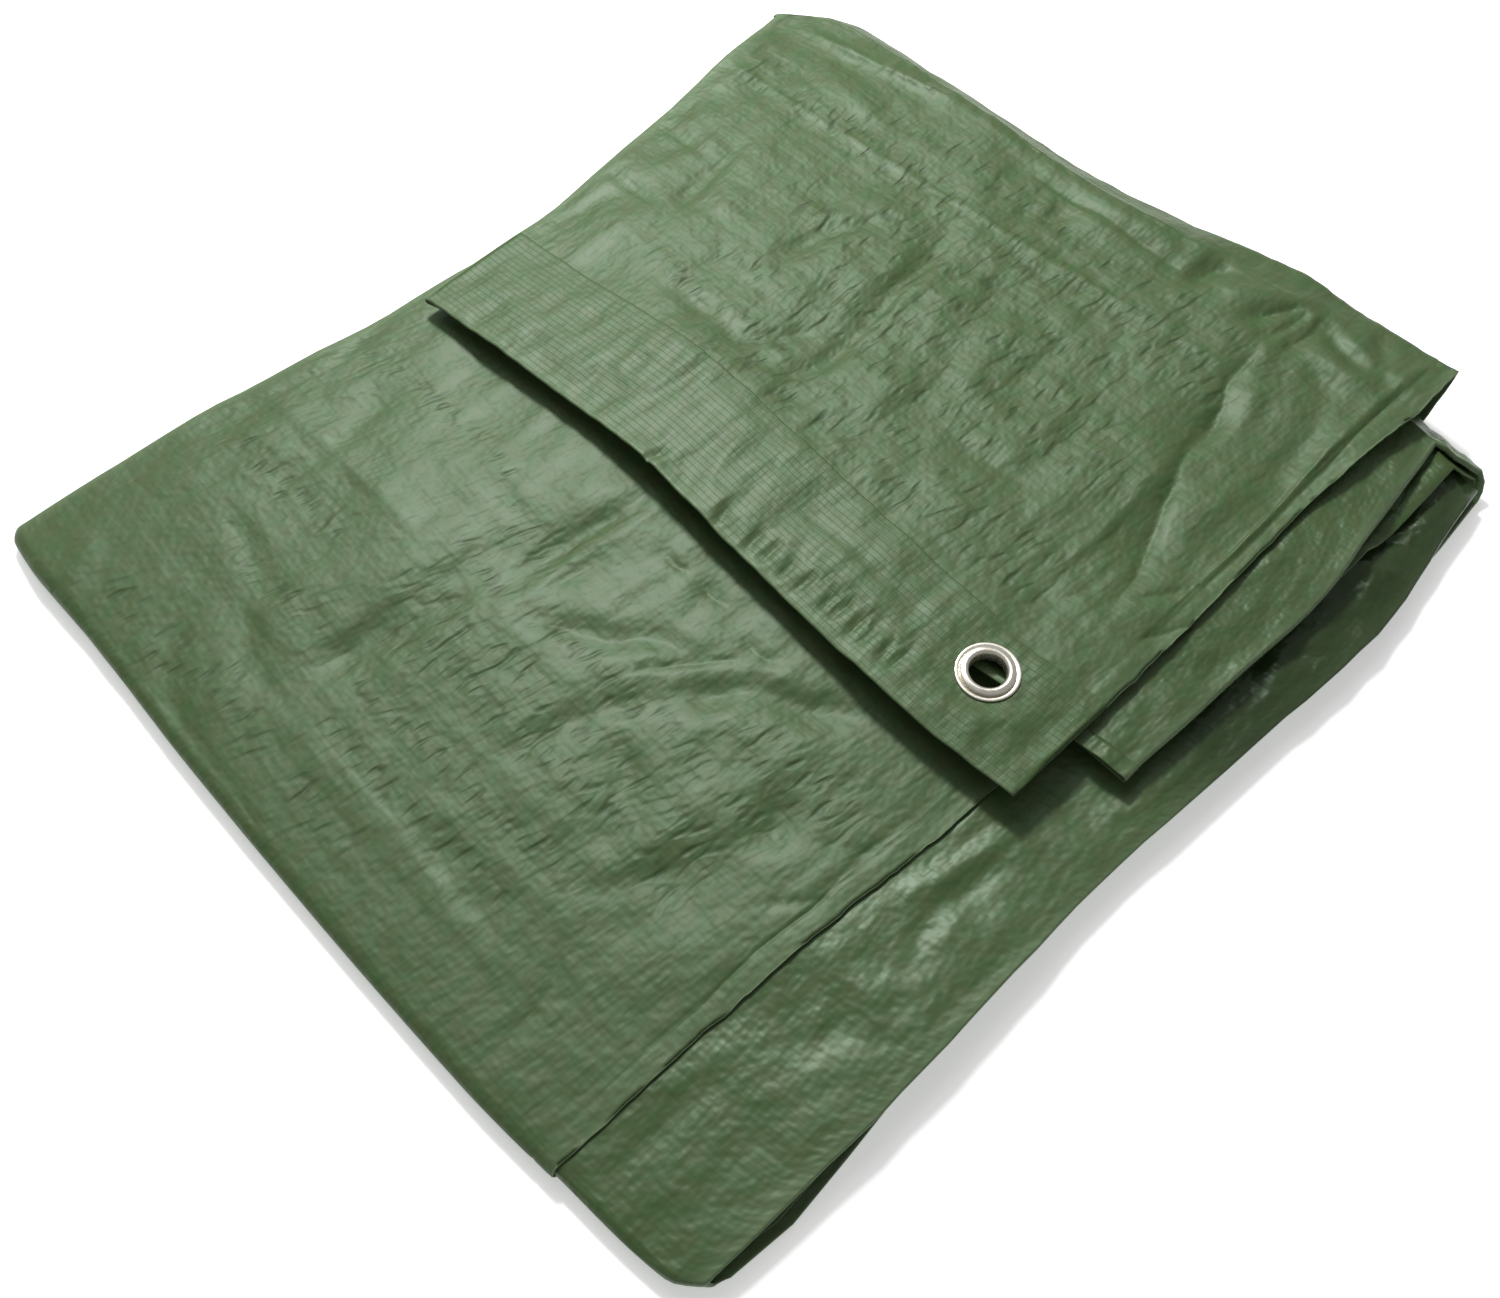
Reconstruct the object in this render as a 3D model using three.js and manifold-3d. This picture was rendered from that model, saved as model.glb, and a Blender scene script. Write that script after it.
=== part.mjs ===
import * as THREE from 'three';
import { mergeVertices } from 'three/addons/utils/BufferGeometryUtils.js';
import Module from 'manifold-3d';

// A woven poly tarp, pleated into a strip of four plies and folded in three like a letter.
// Millimetres, +Z up. X runs across the strip, from its left pleats to its open right side.
// Y runs along the strip, from the near letter fold to the far one.
// The inner panel folds over the base at the near fold, the flap over both at the far fold.

// Cloth
const sheetThickness = 1;
const plyCount = 4;
const plyPitch = 2;
const sideHemWidth = 8;
const sideHemStep = 1.5;
const sideHemExtra = 0.4;
const endHemWidth = 47;
const hemStripThickness = 1.6;
const hemStripStart = 12;
const pieceGap = 0.3;
const tarpColour = 0x6b8062;

// Levels of the three panels above the surface
const panelThickness = plyCount * plyPitch;
const nearFoldHeight = panelThickness - (plyPitch - sheetThickness) / 2;
const flapFoot = nearFoldHeight + panelThickness;
const farFoldHeight = nearFoldHeight + panelThickness / 2;
const farFoldRadius = panelThickness / 2;
const innerPanelSetback = 5;

// Places along Y between which the lines across the strip are read
const nearFoldPlace = -204;
const farFoldPlace = 190;
const frontEdgePlace = -32;

// Lines along the strip, as x at a few places along each panel. The outermost ply runs from its
// hemmed free edge to the left pleat, the second to the right pleat, the third to the inner pleat
// and the fourth to its own inner edge.
const innerPanelLines = [
  { y: -204, freeEdge: 131, leftPleat: -174, rightPleat: 182, innerPleat: -171, innerEdge: 177 },
  { y: -130, freeEdge: 133, leftPleat: -169, rightPleat: 182, innerPleat: -167, innerEdge: 177 },
  { y: -40, freeEdge: 139, leftPleat: -158, rightPleat: 181, innerPleat: -157, innerEdge: 178 },
  { y: 60, freeEdge: 141, leftPleat: -154, rightPleat: 187, innerPleat: -153, innerEdge: 182 },
  { y: 120, freeEdge: 142, leftPleat: -161, rightPleat: 189, innerPleat: -160, innerEdge: 183 },
  { y: 190, freeEdge: 143, leftPleat: -168, rightPleat: 182, innerPleat: -166, innerEdge: 177 },
];
const baseLines = [
  { y: -204, freeEdge: 131, leftPleat: -178, rightPleat: 184, innerPleat: -175, innerEdge: 179 },
  { y: -130, freeEdge: 134, leftPleat: -173, rightPleat: 184, innerPleat: -171, innerEdge: 180 },
  { y: -40, freeEdge: 138, leftPleat: -163, rightPleat: 181, innerPleat: -162, innerEdge: 178 },
  { y: 60, freeEdge: 142, leftPleat: -160, rightPleat: 189, innerPleat: -159, innerEdge: 184 },
  { y: 120, freeEdge: 145, leftPleat: -167, rightPleat: 189, innerPleat: -166, innerEdge: 185 },
  { y: 190, freeEdge: 149, leftPleat: -173, rightPleat: 184, innerPleat: -171, innerEdge: 180 },
];
const flapLines = [
  { y: -32, freeEdge: 148, leftPleat: -147, rightPleat: 168, innerPleat: -150, innerEdge: 158 },
  { y: 40, freeEdge: 148, leftPleat: -150, rightPleat: 171, innerPleat: -152, innerEdge: 165 },
  { y: 85, freeEdge: 147, leftPleat: -156, rightPleat: 172, innerPleat: -157, innerEdge: 169 },
  { y: 135, freeEdge: 146, leftPleat: -163, rightPleat: 167, innerPleat: -163, innerEdge: 171 },
  { y: 190, freeEdge: 150, leftPleat: -169, rightPleat: 162, innerPleat: -167, innerEdge: 171 },
];

// Centre lines of the two letter folds, as y across the strip, with the corners drawn in.
// standOff is how far the outermost ply stands away from the others round the far fold.
const nearFoldLine = [
  { x: -178, y: -190 },
  { x: -170, y: -196 },
  { x: -111, y: -198.5 },
  { x: -51, y: -202 },
  { x: 38, y: -204.5 },
  { x: 111, y: -204.5 },
  { x: 131, y: -203.5 },
  { x: 174, y: -200 },
  { x: 183, y: -193 },
];
const farFoldLine = [
  { x: -174, y: 165, standOff: 0 },
  { x: -167, y: 177, standOff: 0 },
  { x: -152, y: 188, standOff: 0 },
  { x: -130, y: 192.5, standOff: 0 },
  { x: -50, y: 192, standOff: 1 },
  { x: 5, y: 192.5, standOff: 3 },
  { x: 80, y: 194, standOff: 12 },
  { x: 115, y: 190, standOff: 14 },
  { x: 149, y: 184, standOff: 18 },
  { x: 190, y: 184, standOff: 18 },
];

// Section of the far fold, round below and pressed to two creases above with a flat band between.
// Reach and rise are shares of the fold's radius, and standOffReach and standOffRise are shares
// of the outermost ply's stand-off.
const farFoldSection = [
  { share: 0, reach: 0, rise: -1, standOffReach: 0, standOffRise: 0 },
  { share: 0.14, reach: 0.45, rise: -0.93, standOffReach: 0, standOffRise: 0.02 },
  { share: 0.29, reach: 0.83, rise: -0.62, standOffReach: 0.1, standOffRise: 0.15 },
  { share: 0.43, reach: 1.05, rise: -0.2, standOffReach: 0.35, standOffRise: 0.35 },
  { share: 0.56, reach: 1.13, rise: 0.2, standOffReach: 0.75, standOffRise: 0.65 },
  { share: 0.92, reach: 0.1, rise: 1, standOffReach: 0.3, standOffRise: 0.32 },
  { share: 1, reach: 0, rise: 1, standOffReach: 0, standOffRise: 0.28 },
];
const standOffLength = 120;
// How late round the far fold the lines drift from the base's places to the flap's
const farFoldDrift = 2.5;

// Front edges of the flap: the outermost ply's as y across it, the others' at the lines they join
const frontEdgeLine = [
  { x: -147, y: -33 },
  { x: -45, y: -27 },
  { x: 20, y: -31 },
  { x: 102, y: -36 },
  { x: 148, y: -33 },
];
const frontEdgeAt = { leftPleat: -33, rightPleat: -1, innerPleat: 2, innerEdge: 4 };
const frontEdgeCurve = 0.6;

// Rise of the flap's outermost ply off the ply below, by distance behind its front edge,
// and the part of it that each place across the flap has
const flapRise = [
  { distance: 0, rise: 2.6 },
  { distance: 47, rise: 4 },
  { distance: 90, rise: 2.5 },
  { distance: 150, rise: 1 },
  { distance: 230, rise: 0 },
];
const riseAcross = [
  { x: -147, part: 0.15 },
  { x: -100, part: 0.6 },
  { x: -40, part: 1 },
  { x: 20, part: 1 },
  { x: 102, part: 0.75 },
  { x: 148, part: 0.55 },
];

// Broad unevenness of the pile, as shares of its height
const nearFoldPress = 0.3;
const nearFoldPressStart = -160;
const nearFoldPressEnd = -212;
const leftPress = 0.14;
const leftPressStart = -146;
const leftPressEnd = -180;
const swellShare = 0.045;
const swellLengthX = 62;
const swellLengthY = 48;
const swellStartX = 0.8;
const swellStartY = 0.4;

// Eyelet in the flap's corner, and the washer under its rolled rim
const eyeletX = 113.5;
const eyeletBehindEdge = 29.5;
const eyeletBore = 12.6;
const barrelWall = 0.5;
const rimDiameter = 18.6;
const rimHeight = 1;
const washerDiameter = 22;
const washerThickness = 0.5;
const footDiameter = 20.4;
const footThickness = 0.5;
const footRounding = 0.4;
const boreRounding = 0.3;
const rimShoulder = 0.8;
const rimCrown = 1.3;
const washerRounding = 0.5;
const eyeletSides = 32;
const metalColour = 0xd6d6d2;

const lineNames = ['freeEdge', 'leftPleat', 'rightPleat', 'innerPleat', 'innerEdge'];
const pleatBend = (plyPitch + sheetThickness) / 2;
const pleatSteps = 4;

const lerp = THREE.MathUtils.lerp;
const smoothstep = THREE.MathUtils.smoothstep;

// Value of one column of a table on a smooth curve through its rows
function along(table, key, place, column) {
  const last = table.length - 1;
  const at = THREE.MathUtils.clamp(place, table[0][key], table[last][key]);
  let i = 0;
  while (i < last - 1 && at > table[i + 1][key]) i += 1;
  const slopeAt = (j) => {
    const before = table[Math.max(j - 1, 0)];
    const after = table[Math.min(j + 1, last)];
    return (after[column] - before[column]) / (after[key] - before[key]);
  };
  const span = table[i + 1][key] - table[i][key];
  const u = (at - table[i][key]) / span;
  const start = table[i][column];
  const rise = table[i + 1][column] - start;
  const slopeIn = slopeAt(i) * span;
  const slopeOut = slopeAt(i + 1) * span;
  const bend = 3 * rise - 2 * slopeIn - slopeOut + u * (slopeIn + slopeOut - 2 * rise);
  return start + u * (slopeIn + u * bend);
}

// Value of one column of a table on the straight lines between its rows
function straightAlong(table, key, place, column) {
  const after = Math.max(1, table.findIndex((row) => row[key] >= place));
  const from = table[after - 1];
  const to = table[after];
  return lerp(from[column], to[column], (place - from[key]) / (to[key] - from[key]));
}

function linesFrom(table, y) {
  const lines = {};
  for (const name of lineNames) lines[name] = along(table, 'y', y, name);
  return lines;
}

function blendLines(first, second, share) {
  const lines = {};
  for (const name of lineNames) lines[name] = lerp(first[name], second[name], share);
  return lines;
}

// The five lines across the strip at one row
function linesAtRow(row) {
  const hemLinePlace = frontEdgePlace + endHemWidth;
  switch (row.part) {
    case 'innerPanel':
      return linesFrom(innerPanelLines, lerp(farFoldPlace, nearFoldPlace, row.share));
    case 'nearFold':
      return blendLines(innerPanelLines[0], baseLines[0], row.share);
    case 'base':
      return linesFrom(baseLines, lerp(nearFoldPlace, farFoldPlace, row.share));
    case 'farFold':
      return blendLines(baseLines.at(-1), flapLines.at(-1), row.share ** farFoldDrift);
    case 'flap':
      return linesFrom(flapLines, lerp(farFoldPlace, hemLinePlace, row.share));
    default:
      return linesFrom(flapLines, lerp(hemLinePlace, frontEdgePlace, row.share));
  }
}

// Share of the side hem's extra thickness that lies on the outer face, none under the base
function hemOutwardShare(row) {
  if (row.part === 'nearFold') return Math.max(0, 1 - 2 * row.share);
  if (row.part === 'base') return 0;
  if (row.part === 'farFold') return Math.max(0, 2 * row.share - 1);
  return 1;
}

function plyLevel(ply) {
  return (plyCount - 1 - ply + 0.5) * plyPitch;
}

// Place across the strip and level above its inner face, of a point on one face of the sheet.
// Faces are told apart by side: 1 for the face that the outermost ply shows, -1 for the other.
function profilePoint(column, row, side) {
  const lines = linesAtRow(row);
  let distance = side * sheetThickness / 2;
  if (column.pleat !== undefined) {
    const isLeft = column.pleat % 2 === 0;
    const turn = Math.PI * (isLeft ? 0.5 + column.share : 0.5 - column.share);
    const radius = plyPitch / 2 + (isLeft ? distance : -distance);
    const line = lines[lineNames[column.pleat + 1]];
    const centreX = isLeft ? line + pleatBend : line - pleatBend;
    const centreLevel = plyLevel(column.pleat) - plyPitch / 2;
    return { x: centreX + radius * Math.cos(turn), level: centreLevel + radius * Math.sin(turn) };
  }
  const { right, left } = plyEnds(column.ply, lines);
  if (column.hem) {
    const outward = hemOutwardShare(row);
    distance += sideHemExtra * (side > 0 ? outward : outward - 1);
  }
  const outer = column.ply % 2 === 0 ? 1 : -1;
  return {
    x: lerp(left, right, column.share) + column.offset,
    level: plyLevel(column.ply) + outer * distance,
  };
}

function plyEnds(ply, lines) {
  const isRightToLeft = ply % 2 === 0;
  const rightLine = lines[lineNames[isRightToLeft ? ply : ply + 1]];
  const leftLine = lines[lineNames[isRightToLeft ? ply + 1 : ply]];
  const rightIsEdge = ply === 0 || ply === plyCount - 1;
  return { right: rightIsEdge ? rightLine : rightLine - pleatBend, left: leftLine + pleatBend };
}

// The flap's front edge, as y, where a column meets it
function frontEdge(column, x, lines) {
  if (column.pleat !== undefined) return frontEdgeAt[lineNames[column.pleat + 1]];
  if (column.ply === 0) return along(frontEdgeLine, 'x', x, 'y');
  const { right, left } = plyEnds(column.ply, lines);
  const isRightToLeft = column.ply % 2 === 0;
  const rightY = frontEdgeAt[lineNames[isRightToLeft ? column.ply : column.ply + 1]];
  const leftY = frontEdgeAt[lineNames[isRightToLeft ? column.ply + 1 : column.ply]];
  return lerp(leftY, rightY, ((x - left) / (right - left)) ** frontEdgeCurve);
}

// Height above the flap's lower plies that its outermost ply gains near the eyelet and the far fold
function outerPlyRise(x, y, edgeY, far) {
  const nearFarFold = 1 - smoothstep(far - y, 0, standOffLength);
  const standOff = along(farFoldLine, 'x', x, 'standOff') * farFoldSection.at(-1).standOffRise;
  const rise = along(flapRise, 'distance', y - edgeY, 'rise') * along(riseAcross, 'x', x, 'part');
  return rise + standOff * nearFarFold;
}

// Presses the near fold and the left pleats thinner and lets the pile swell and sink a little
function uneven(x, y, z) {
  const press = nearFoldPress * smoothstep(-y, -nearFoldPressStart, -nearFoldPressEnd);
  const leftSink = leftPress * smoothstep(-x, -leftPressStart, -leftPressEnd);
  const waveX = Math.sin(x / swellLengthX + swellStartX);
  const swell = swellShare * waveX * Math.cos(y / swellLengthY + swellStartY);
  return new THREE.Vector3(x, y, z * (1 - press) * (1 - leftSink) * (1 + swell));
}

// A point of the folded cloth, from its row along the strip, place across it and level in it
function foldedPoint(row, column, x, level, hemGap) {
  const near = along(nearFoldLine, 'x', x, 'y');
  const far = along(farFoldLine, 'x', x, 'y');
  const outerPly = smoothstep(level, plyLevel(1) + sheetThickness / 2, plyLevel(0) - sheetThickness / 2);
  if (row.part === 'innerPanel') {
    return uneven(x, lerp(far - innerPanelSetback, near, row.share), nearFoldHeight + level);
  }
  if (row.part === 'nearFold') {
    const turn = Math.PI * row.share;
    return uneven(x, near - level * Math.sin(turn), nearFoldHeight + level * Math.cos(turn));
  }
  if (row.part === 'base') {
    return uneven(x, lerp(near, far, row.share), nearFoldHeight - level);
  }
  if (row.part === 'farFold') {
    const section = (name) => straightAlong(farFoldSection, 'share', row.share, name);
    const radius = farFoldRadius + level;
    const standOff = outerPly * along(farFoldLine, 'x', x, 'standOff');
    const y = far + radius * section('reach') + standOff * section('standOffReach');
    const z = farFoldHeight + radius * section('rise') + standOff * section('standOffRise');
    return uneven(x, y, z);
  }
  const edgeY = frontEdge(column, x, linesAtRow(row));
  const hemLine = edgeY + endHemWidth + hemGap;
  const y = row.part === 'flap' ? lerp(far, hemLine, row.share) : lerp(hemLine, edgeY, row.share);
  return uneven(x, y, flapFoot + level + outerPly * outerPlyRise(x, y, edgeY, far));
}

// Columns across the four plies, from the hemmed free edge to the inner edge.
// A column lies at a share of its ply's width from the left, plus an offset.
const plyColumns = [
  { share: 1, offset: 0 },
  { share: 1, offset: -8 },
  { share: 1, offset: -22 },
  { share: 1, offset: -50 },
  { share: 0.68, offset: 0 },
  { share: 0.5, offset: 0 },
  { share: 0.32, offset: 0 },
  { share: 0, offset: 40 },
  { share: 0, offset: 18 },
  { share: 0, offset: 7 },
  { share: 0, offset: 0 },
];
const hemColumns = [
  { share: 1, offset: 0, hem: true },
  { share: 1, offset: -sideHemWidth, hem: true },
  { share: 1, offset: -sideHemWidth - sideHemStep },
];

function clothColumns() {
  const columns = [];
  for (let ply = 0; ply < plyCount; ply += 1) {
    let across = plyColumns;
    if (ply === 0) {
      const stripEdge = { share: 0, offset: hemStripStart - pleatBend - pieceGap };
      across = [...hemColumns, ...plyColumns.slice(2, -2), stripEdge, ...plyColumns.slice(-1)];
    }
    if (ply % 2 === 1) across = [...across].reverse();
    for (const place of across) columns.push({ ply, ...place });
    if (ply === plyCount - 1) continue;
    for (let step = 1; step < pleatSteps; step += 1) columns.push({ pleat: ply, share: step / pleatSteps });
  }
  return columns;
}

// Rows along the strip, from the inner panel's hidden end to the flap's front edge.
// Those on the end hem leave the eyelet's place in one flat face.
const hemRowShares = [0.1, 0.6, 1];
const rowShares = [
  { part: 'innerPanel', shares: [0, 0.08, 0.26, 0.42, 0.58, 0.74, 0.88, 0.96, 1] },
  { part: 'nearFold', shares: [0.17, 0.33, 0.5, 0.67, 0.83] },
  { part: 'base', shares: [0, 0.04, 0.12, 0.27, 0.42, 0.57, 0.72, 0.85, 0.93, 1] },
  { part: 'farFold', shares: farFoldSection.slice(1, -1).map((row) => row.share) },
  { part: 'flap', shares: [0, 0.09, 0.26, 0.5, 0.75, 1] },
  { part: 'hem', shares: hemRowShares },
];

function stripRows() {
  const rows = [];
  for (const { part, shares } of rowShares) {
    for (const share of shares) rows.push({ part, share });
  }
  return rows;
}

// Closed sheet over the cells of a grid that isCloth keeps, walled along every open edge
function sheetGeometry(columns, rows, isCloth, pointAt) {
  const positions = [];
  const indices = [];
  const vertexOf = new Map();
  const vertex = (i, j, side) => {
    const key = `${i} ${j} ${side}`;
    if (!vertexOf.has(key)) {
      vertexOf.set(key, positions.length / 3);
      positions.push(...pointAt(columns[i], rows[j], side).toArray());
    }
    return vertexOf.get(key);
  };
  const quad = (a, b, c, d) => indices.push(a, b, c, a, c, d);
  const lastColumn = columns.length - 1;
  const lastRow = rows.length - 1;
  const kept = (i, j) => i >= 0 && j >= 0 && i < lastColumn && j < lastRow && isCloth(i, j);
  const wall = (i, j, m, n) => {
    quad(vertex(i, j, 1), vertex(i, j, -1), vertex(m, n, -1), vertex(m, n, 1));
  };
  for (let i = 0; i < lastColumn; i += 1) {
    for (let j = 0; j < lastRow; j += 1) {
      if (!kept(i, j)) continue;
      quad(vertex(i, j, 1), vertex(i + 1, j, 1), vertex(i + 1, j + 1, 1), vertex(i, j + 1, 1));
      quad(vertex(i, j, -1), vertex(i, j + 1, -1), vertex(i + 1, j + 1, -1), vertex(i + 1, j, -1));
      if (!kept(i, j - 1)) wall(i, j, i + 1, j);
      if (!kept(i + 1, j)) wall(i + 1, j, i + 1, j + 1);
      if (!kept(i, j + 1)) wall(i + 1, j + 1, i, j + 1);
      if (!kept(i - 1, j)) wall(i, j + 1, i, j);
    }
  }
  const geometry = new THREE.BufferGeometry();
  geometry.setAttribute('position', new THREE.Float32BufferAttribute(positions, 3));
  geometry.setIndex(indices);
  return geometry;
}

// Last column of the outermost ply that the hem strip takes over
function stripEndColumn(columns) {
  return columns.findIndex((column) => column.pleat === 0) - 2;
}

// The whole cloth but for the hem strip, which is notched out of the outermost ply's front
function clothGeometry() {
  const columns = clothColumns();
  const rows = stripRows();
  const stripEnd = stripEndColumn(columns);
  const isCloth = (i, j) => i >= stripEnd || rows[j + 1].part !== 'hem';
  return sheetGeometry(columns, rows, isCloth, (column, row, side) => {
    const { x, level } = profilePoint(column, row, side);
    return foldedPoint(row, column, x, level, pieceGap);
  });
}

// Wide end hem of the outermost ply, doubled cloth that the eyelet is set in
const stripFloor = plyLevel(0) - sheetThickness / 2;

function hemStripGeometry() {
  const columns = clothColumns();
  const stripEnd = stripEndColumn(columns);
  const across = columns.slice(0, stripEnd + 1);
  across[stripEnd] = { ...across[stripEnd], offset: across[stripEnd].offset + pieceGap };
  const rows = [0, ...hemRowShares].map((share) => ({ part: 'hem', share }));
  return sheetGeometry(across, rows, () => true, (column, row, side) => {
    const { x } = profilePoint(column, row, 1);
    return foldedPoint(row, column, x, side > 0 ? stripFloor + hemStripThickness : stripFloor, 0);
  });
}

// Where the eyelet's axis passes the middle of the hem strip, and which way it points
function eyeletSeat() {
  const middle = stripFloor + hemStripThickness / 2;
  const column = { ply: 0 };
  const reach = rimDiameter / 2;
  const at = (x, behindEdge) => {
    const row = { part: 'hem', share: 1 - behindEdge / endHemWidth };
    return foldedPoint(row, column, x, middle, 0);
  };
  const acrossStrip = at(eyeletX + reach, eyeletBehindEdge).sub(at(eyeletX - reach, eyeletBehindEdge));
  const alongStrip = at(eyeletX, eyeletBehindEdge + reach).sub(at(eyeletX, eyeletBehindEdge - reach));
  const axis = acrossStrip.cross(alongStrip).normalize();
  return { point: at(eyeletX, eyeletBehindEdge), axis };
}

// A ring turned about Z from a closed outline of radius and height pairs
function ring(outline) {
  const points = [...outline, outline[0]].map(([radius, height]) => new THREE.Vector2(radius, height));
  const turned = new THREE.LatheGeometry(points, eyeletSides).rotateX(Math.PI / 2);
  turned.deleteAttribute('normal');
  turned.deleteAttribute('uv');
  return mergeVertices(turned, 1e-4);
}

const bore = eyeletBore / 2;
const barrel = bore + barrelWall;
const holeRadius = barrel + pieceGap;
const clothFace = hemStripThickness / 2;
const washerFoot = clothFace + pieceGap;
const washerTop = washerFoot + washerThickness;
const rimFoot = washerTop + pieceGap;
const rimTop = rimFoot + rimHeight;
const footTop = -clothFace - pieceGap;

function eyeletGeometry() {
  const rim = rimDiameter / 2;
  const foot = footDiameter / 2;
  return ring([
    [bore, footTop - footThickness / 2],
    [bore + boreRounding, footTop - footThickness],
    [foot - footRounding, footTop - footThickness],
    [foot, footTop - footThickness / 2],
    [foot, footTop],
    [barrel, footTop],
    [barrel, rimFoot],
    [rim, rimFoot],
    [rim, rimFoot + rimHeight - rimShoulder],
    [rim - rimShoulder, rimTop - boreRounding],
    [bore + rimCrown, rimTop],
    [bore + boreRounding, rimTop - boreRounding],
    [bore, rimTop - rimShoulder],
  ]);
}

function washerGeometry() {
  const edge = washerDiameter / 2;
  return ring([
    [holeRadius, washerFoot],
    [edge, washerFoot],
    [edge, washerFoot + washerThickness / 2],
    [edge - washerRounding, washerTop],
    [holeRadius, washerTop],
  ]);
}

function boreGeometry() {
  return ring([
    [0, -2 * hemStripThickness],
    [holeRadius, -2 * hemStripThickness],
    [holeRadius, 2 * hemStripThickness],
    [0, 2 * hemStripThickness],
  ]);
}

// The eyelet's hole is punched out of the hem strip as one solid from another
const wasm = await Module();
wasm.setup();

function toSolid(geometry) {
  const vertProperties = new Float32Array(geometry.attributes.position.array);
  const triVerts = new Uint32Array(geometry.index.array);
  return new wasm.Manifold(new wasm.Mesh({ numProp: 3, vertProperties, triVerts }));
}

function toGeometry(solid) {
  const mesh = solid.getMesh();
  const geometry = new THREE.BufferGeometry();
  geometry.setAttribute('position', new THREE.Float32BufferAttribute(mesh.vertProperties, 3));
  geometry.setIndex(Array.from(mesh.triVerts));
  return geometry;
}

const seat = eyeletSeat();
const seatTurn = new THREE.Quaternion().setFromUnitVectors(new THREE.Vector3(0, 0, 1), seat.axis);

function punchedStripGeometry() {
  const punch = boreGeometry();
  punch.applyQuaternion(seatTurn);
  punch.translate(seat.point.x, seat.point.y, seat.point.z);
  return toGeometry(toSolid(hemStripGeometry()).subtract(toSolid(punch)));
}

const polyCloth = new THREE.MeshStandardMaterial({ color: tarpColour, roughness: 0.45, metalness: 0 });
const hemCloth = new THREE.MeshStandardMaterial({ color: tarpColour, roughness: 0.5, metalness: 0 });
const platedSteel = new THREE.MeshStandardMaterial({ color: metalColour, roughness: 0.25, metalness: 1 });

function namedMesh(name, geometry, material) {
  geometry.computeVertexNormals();
  const mesh = new THREE.Mesh(geometry, material);
  mesh.name = name;
  return mesh;
}

const cloth = namedMesh('tarp_cloth', clothGeometry(), polyCloth);
const hemStrip = namedMesh('hem_strip', punchedStripGeometry(), hemCloth);

const eyeletSet = new THREE.Group();
eyeletSet.position.copy(seat.point);
eyeletSet.quaternion.copy(seatTurn);
eyeletSet.add(namedMesh('eyelet', eyeletGeometry(), platedSteel));
eyeletSet.add(namedMesh('eyelet_washer', washerGeometry(), platedSteel));

// The origin is under the middle of the pack's bounding box
const foldedTarp = new THREE.Group();
foldedTarp.add(cloth, hemStrip, eyeletSet);
foldedTarp.updateMatrixWorld(true);
const extent = new THREE.Box3().setFromObject(foldedTarp, true);
const middle = extent.getCenter(new THREE.Vector3());
foldedTarp.position.set(-middle.x, -middle.y, -extent.min.z);

export default foldedTarp;
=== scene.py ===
import bmesh
import bpy
import math
import numpy as np
from mathutils import Matrix, Vector, noise


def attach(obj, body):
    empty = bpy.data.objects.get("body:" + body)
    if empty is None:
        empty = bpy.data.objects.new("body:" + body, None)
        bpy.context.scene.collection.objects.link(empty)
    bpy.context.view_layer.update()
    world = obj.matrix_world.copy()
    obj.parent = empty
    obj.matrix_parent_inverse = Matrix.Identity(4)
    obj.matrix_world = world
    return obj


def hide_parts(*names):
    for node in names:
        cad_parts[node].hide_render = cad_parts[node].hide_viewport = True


# A woven poly tarp, pleated into four plies and folded in three like a letter.
# Lengths are in millimetres in the drawing's own frame, and mesh points are turned to metres at the end.

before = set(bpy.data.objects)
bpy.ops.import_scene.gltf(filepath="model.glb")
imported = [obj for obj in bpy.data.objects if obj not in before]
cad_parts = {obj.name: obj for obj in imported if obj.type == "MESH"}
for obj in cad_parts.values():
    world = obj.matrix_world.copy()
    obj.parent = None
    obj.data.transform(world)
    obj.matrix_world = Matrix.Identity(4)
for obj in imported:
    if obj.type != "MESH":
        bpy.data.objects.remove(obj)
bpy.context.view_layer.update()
metresPerMm = 0.001
drawingOrigin = np.array([-5.81, -1.46, 0.0])  # the drawing's origin, as the row frame has it

# How the cloth is laid and folded
cloth = {
    "thickness": 0.42,
    "plyCount": 4,
    "plyPitch": 2.0,
    "plyWidths": [300.0, 340.0, 338.0, 333.0],
    "pleatBend": 1.5,  # the pleats' radius and a little room
    "sideHem": 7.5,
    "hemDepth": 0.48,  # from the cloth down to its turned-under hem
    "endHem": 47.0,
    "farSetback": 5.0,  # the inner panel's hidden end, short of the far fold
    "cornerReach": 7.5,  # and how much further it comes at the right corner
    "corner": (140.0, 165.0),
    "nearFoldHeight": 7.5,
    "flapFoot": 15.5,
    "farFoldHeight": 11.5,
    "farFoldRadius": 4.0,
    "standOffLength": 85.0,
    "farFoldDrift": 2.5,
    "frontEdgeCurve": 0.6,
}
# The strip's stretches from the hidden end of the inner panel to the flap's front edge
stretches = [
    ("inner", 390.0), ("nearFold", 23.0), ("base", 395.0), ("farFold", 42.0), ("flap", 176.0), ("hem", 47.0),
]
stretchNames = [name for name, _ in stretches]
stretchEnds = np.cumsum([length for _, length in stretches])
stretchStart = {name: end - length for (name, length), end in zip(stretches, stretchEnds)}
baseStretch, hemStretch = stretchNames.index("base"), stretchNames.index("hem")
nearPlace, farPlace, frontPlace = -204.0, 190.0, -32.0

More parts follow.
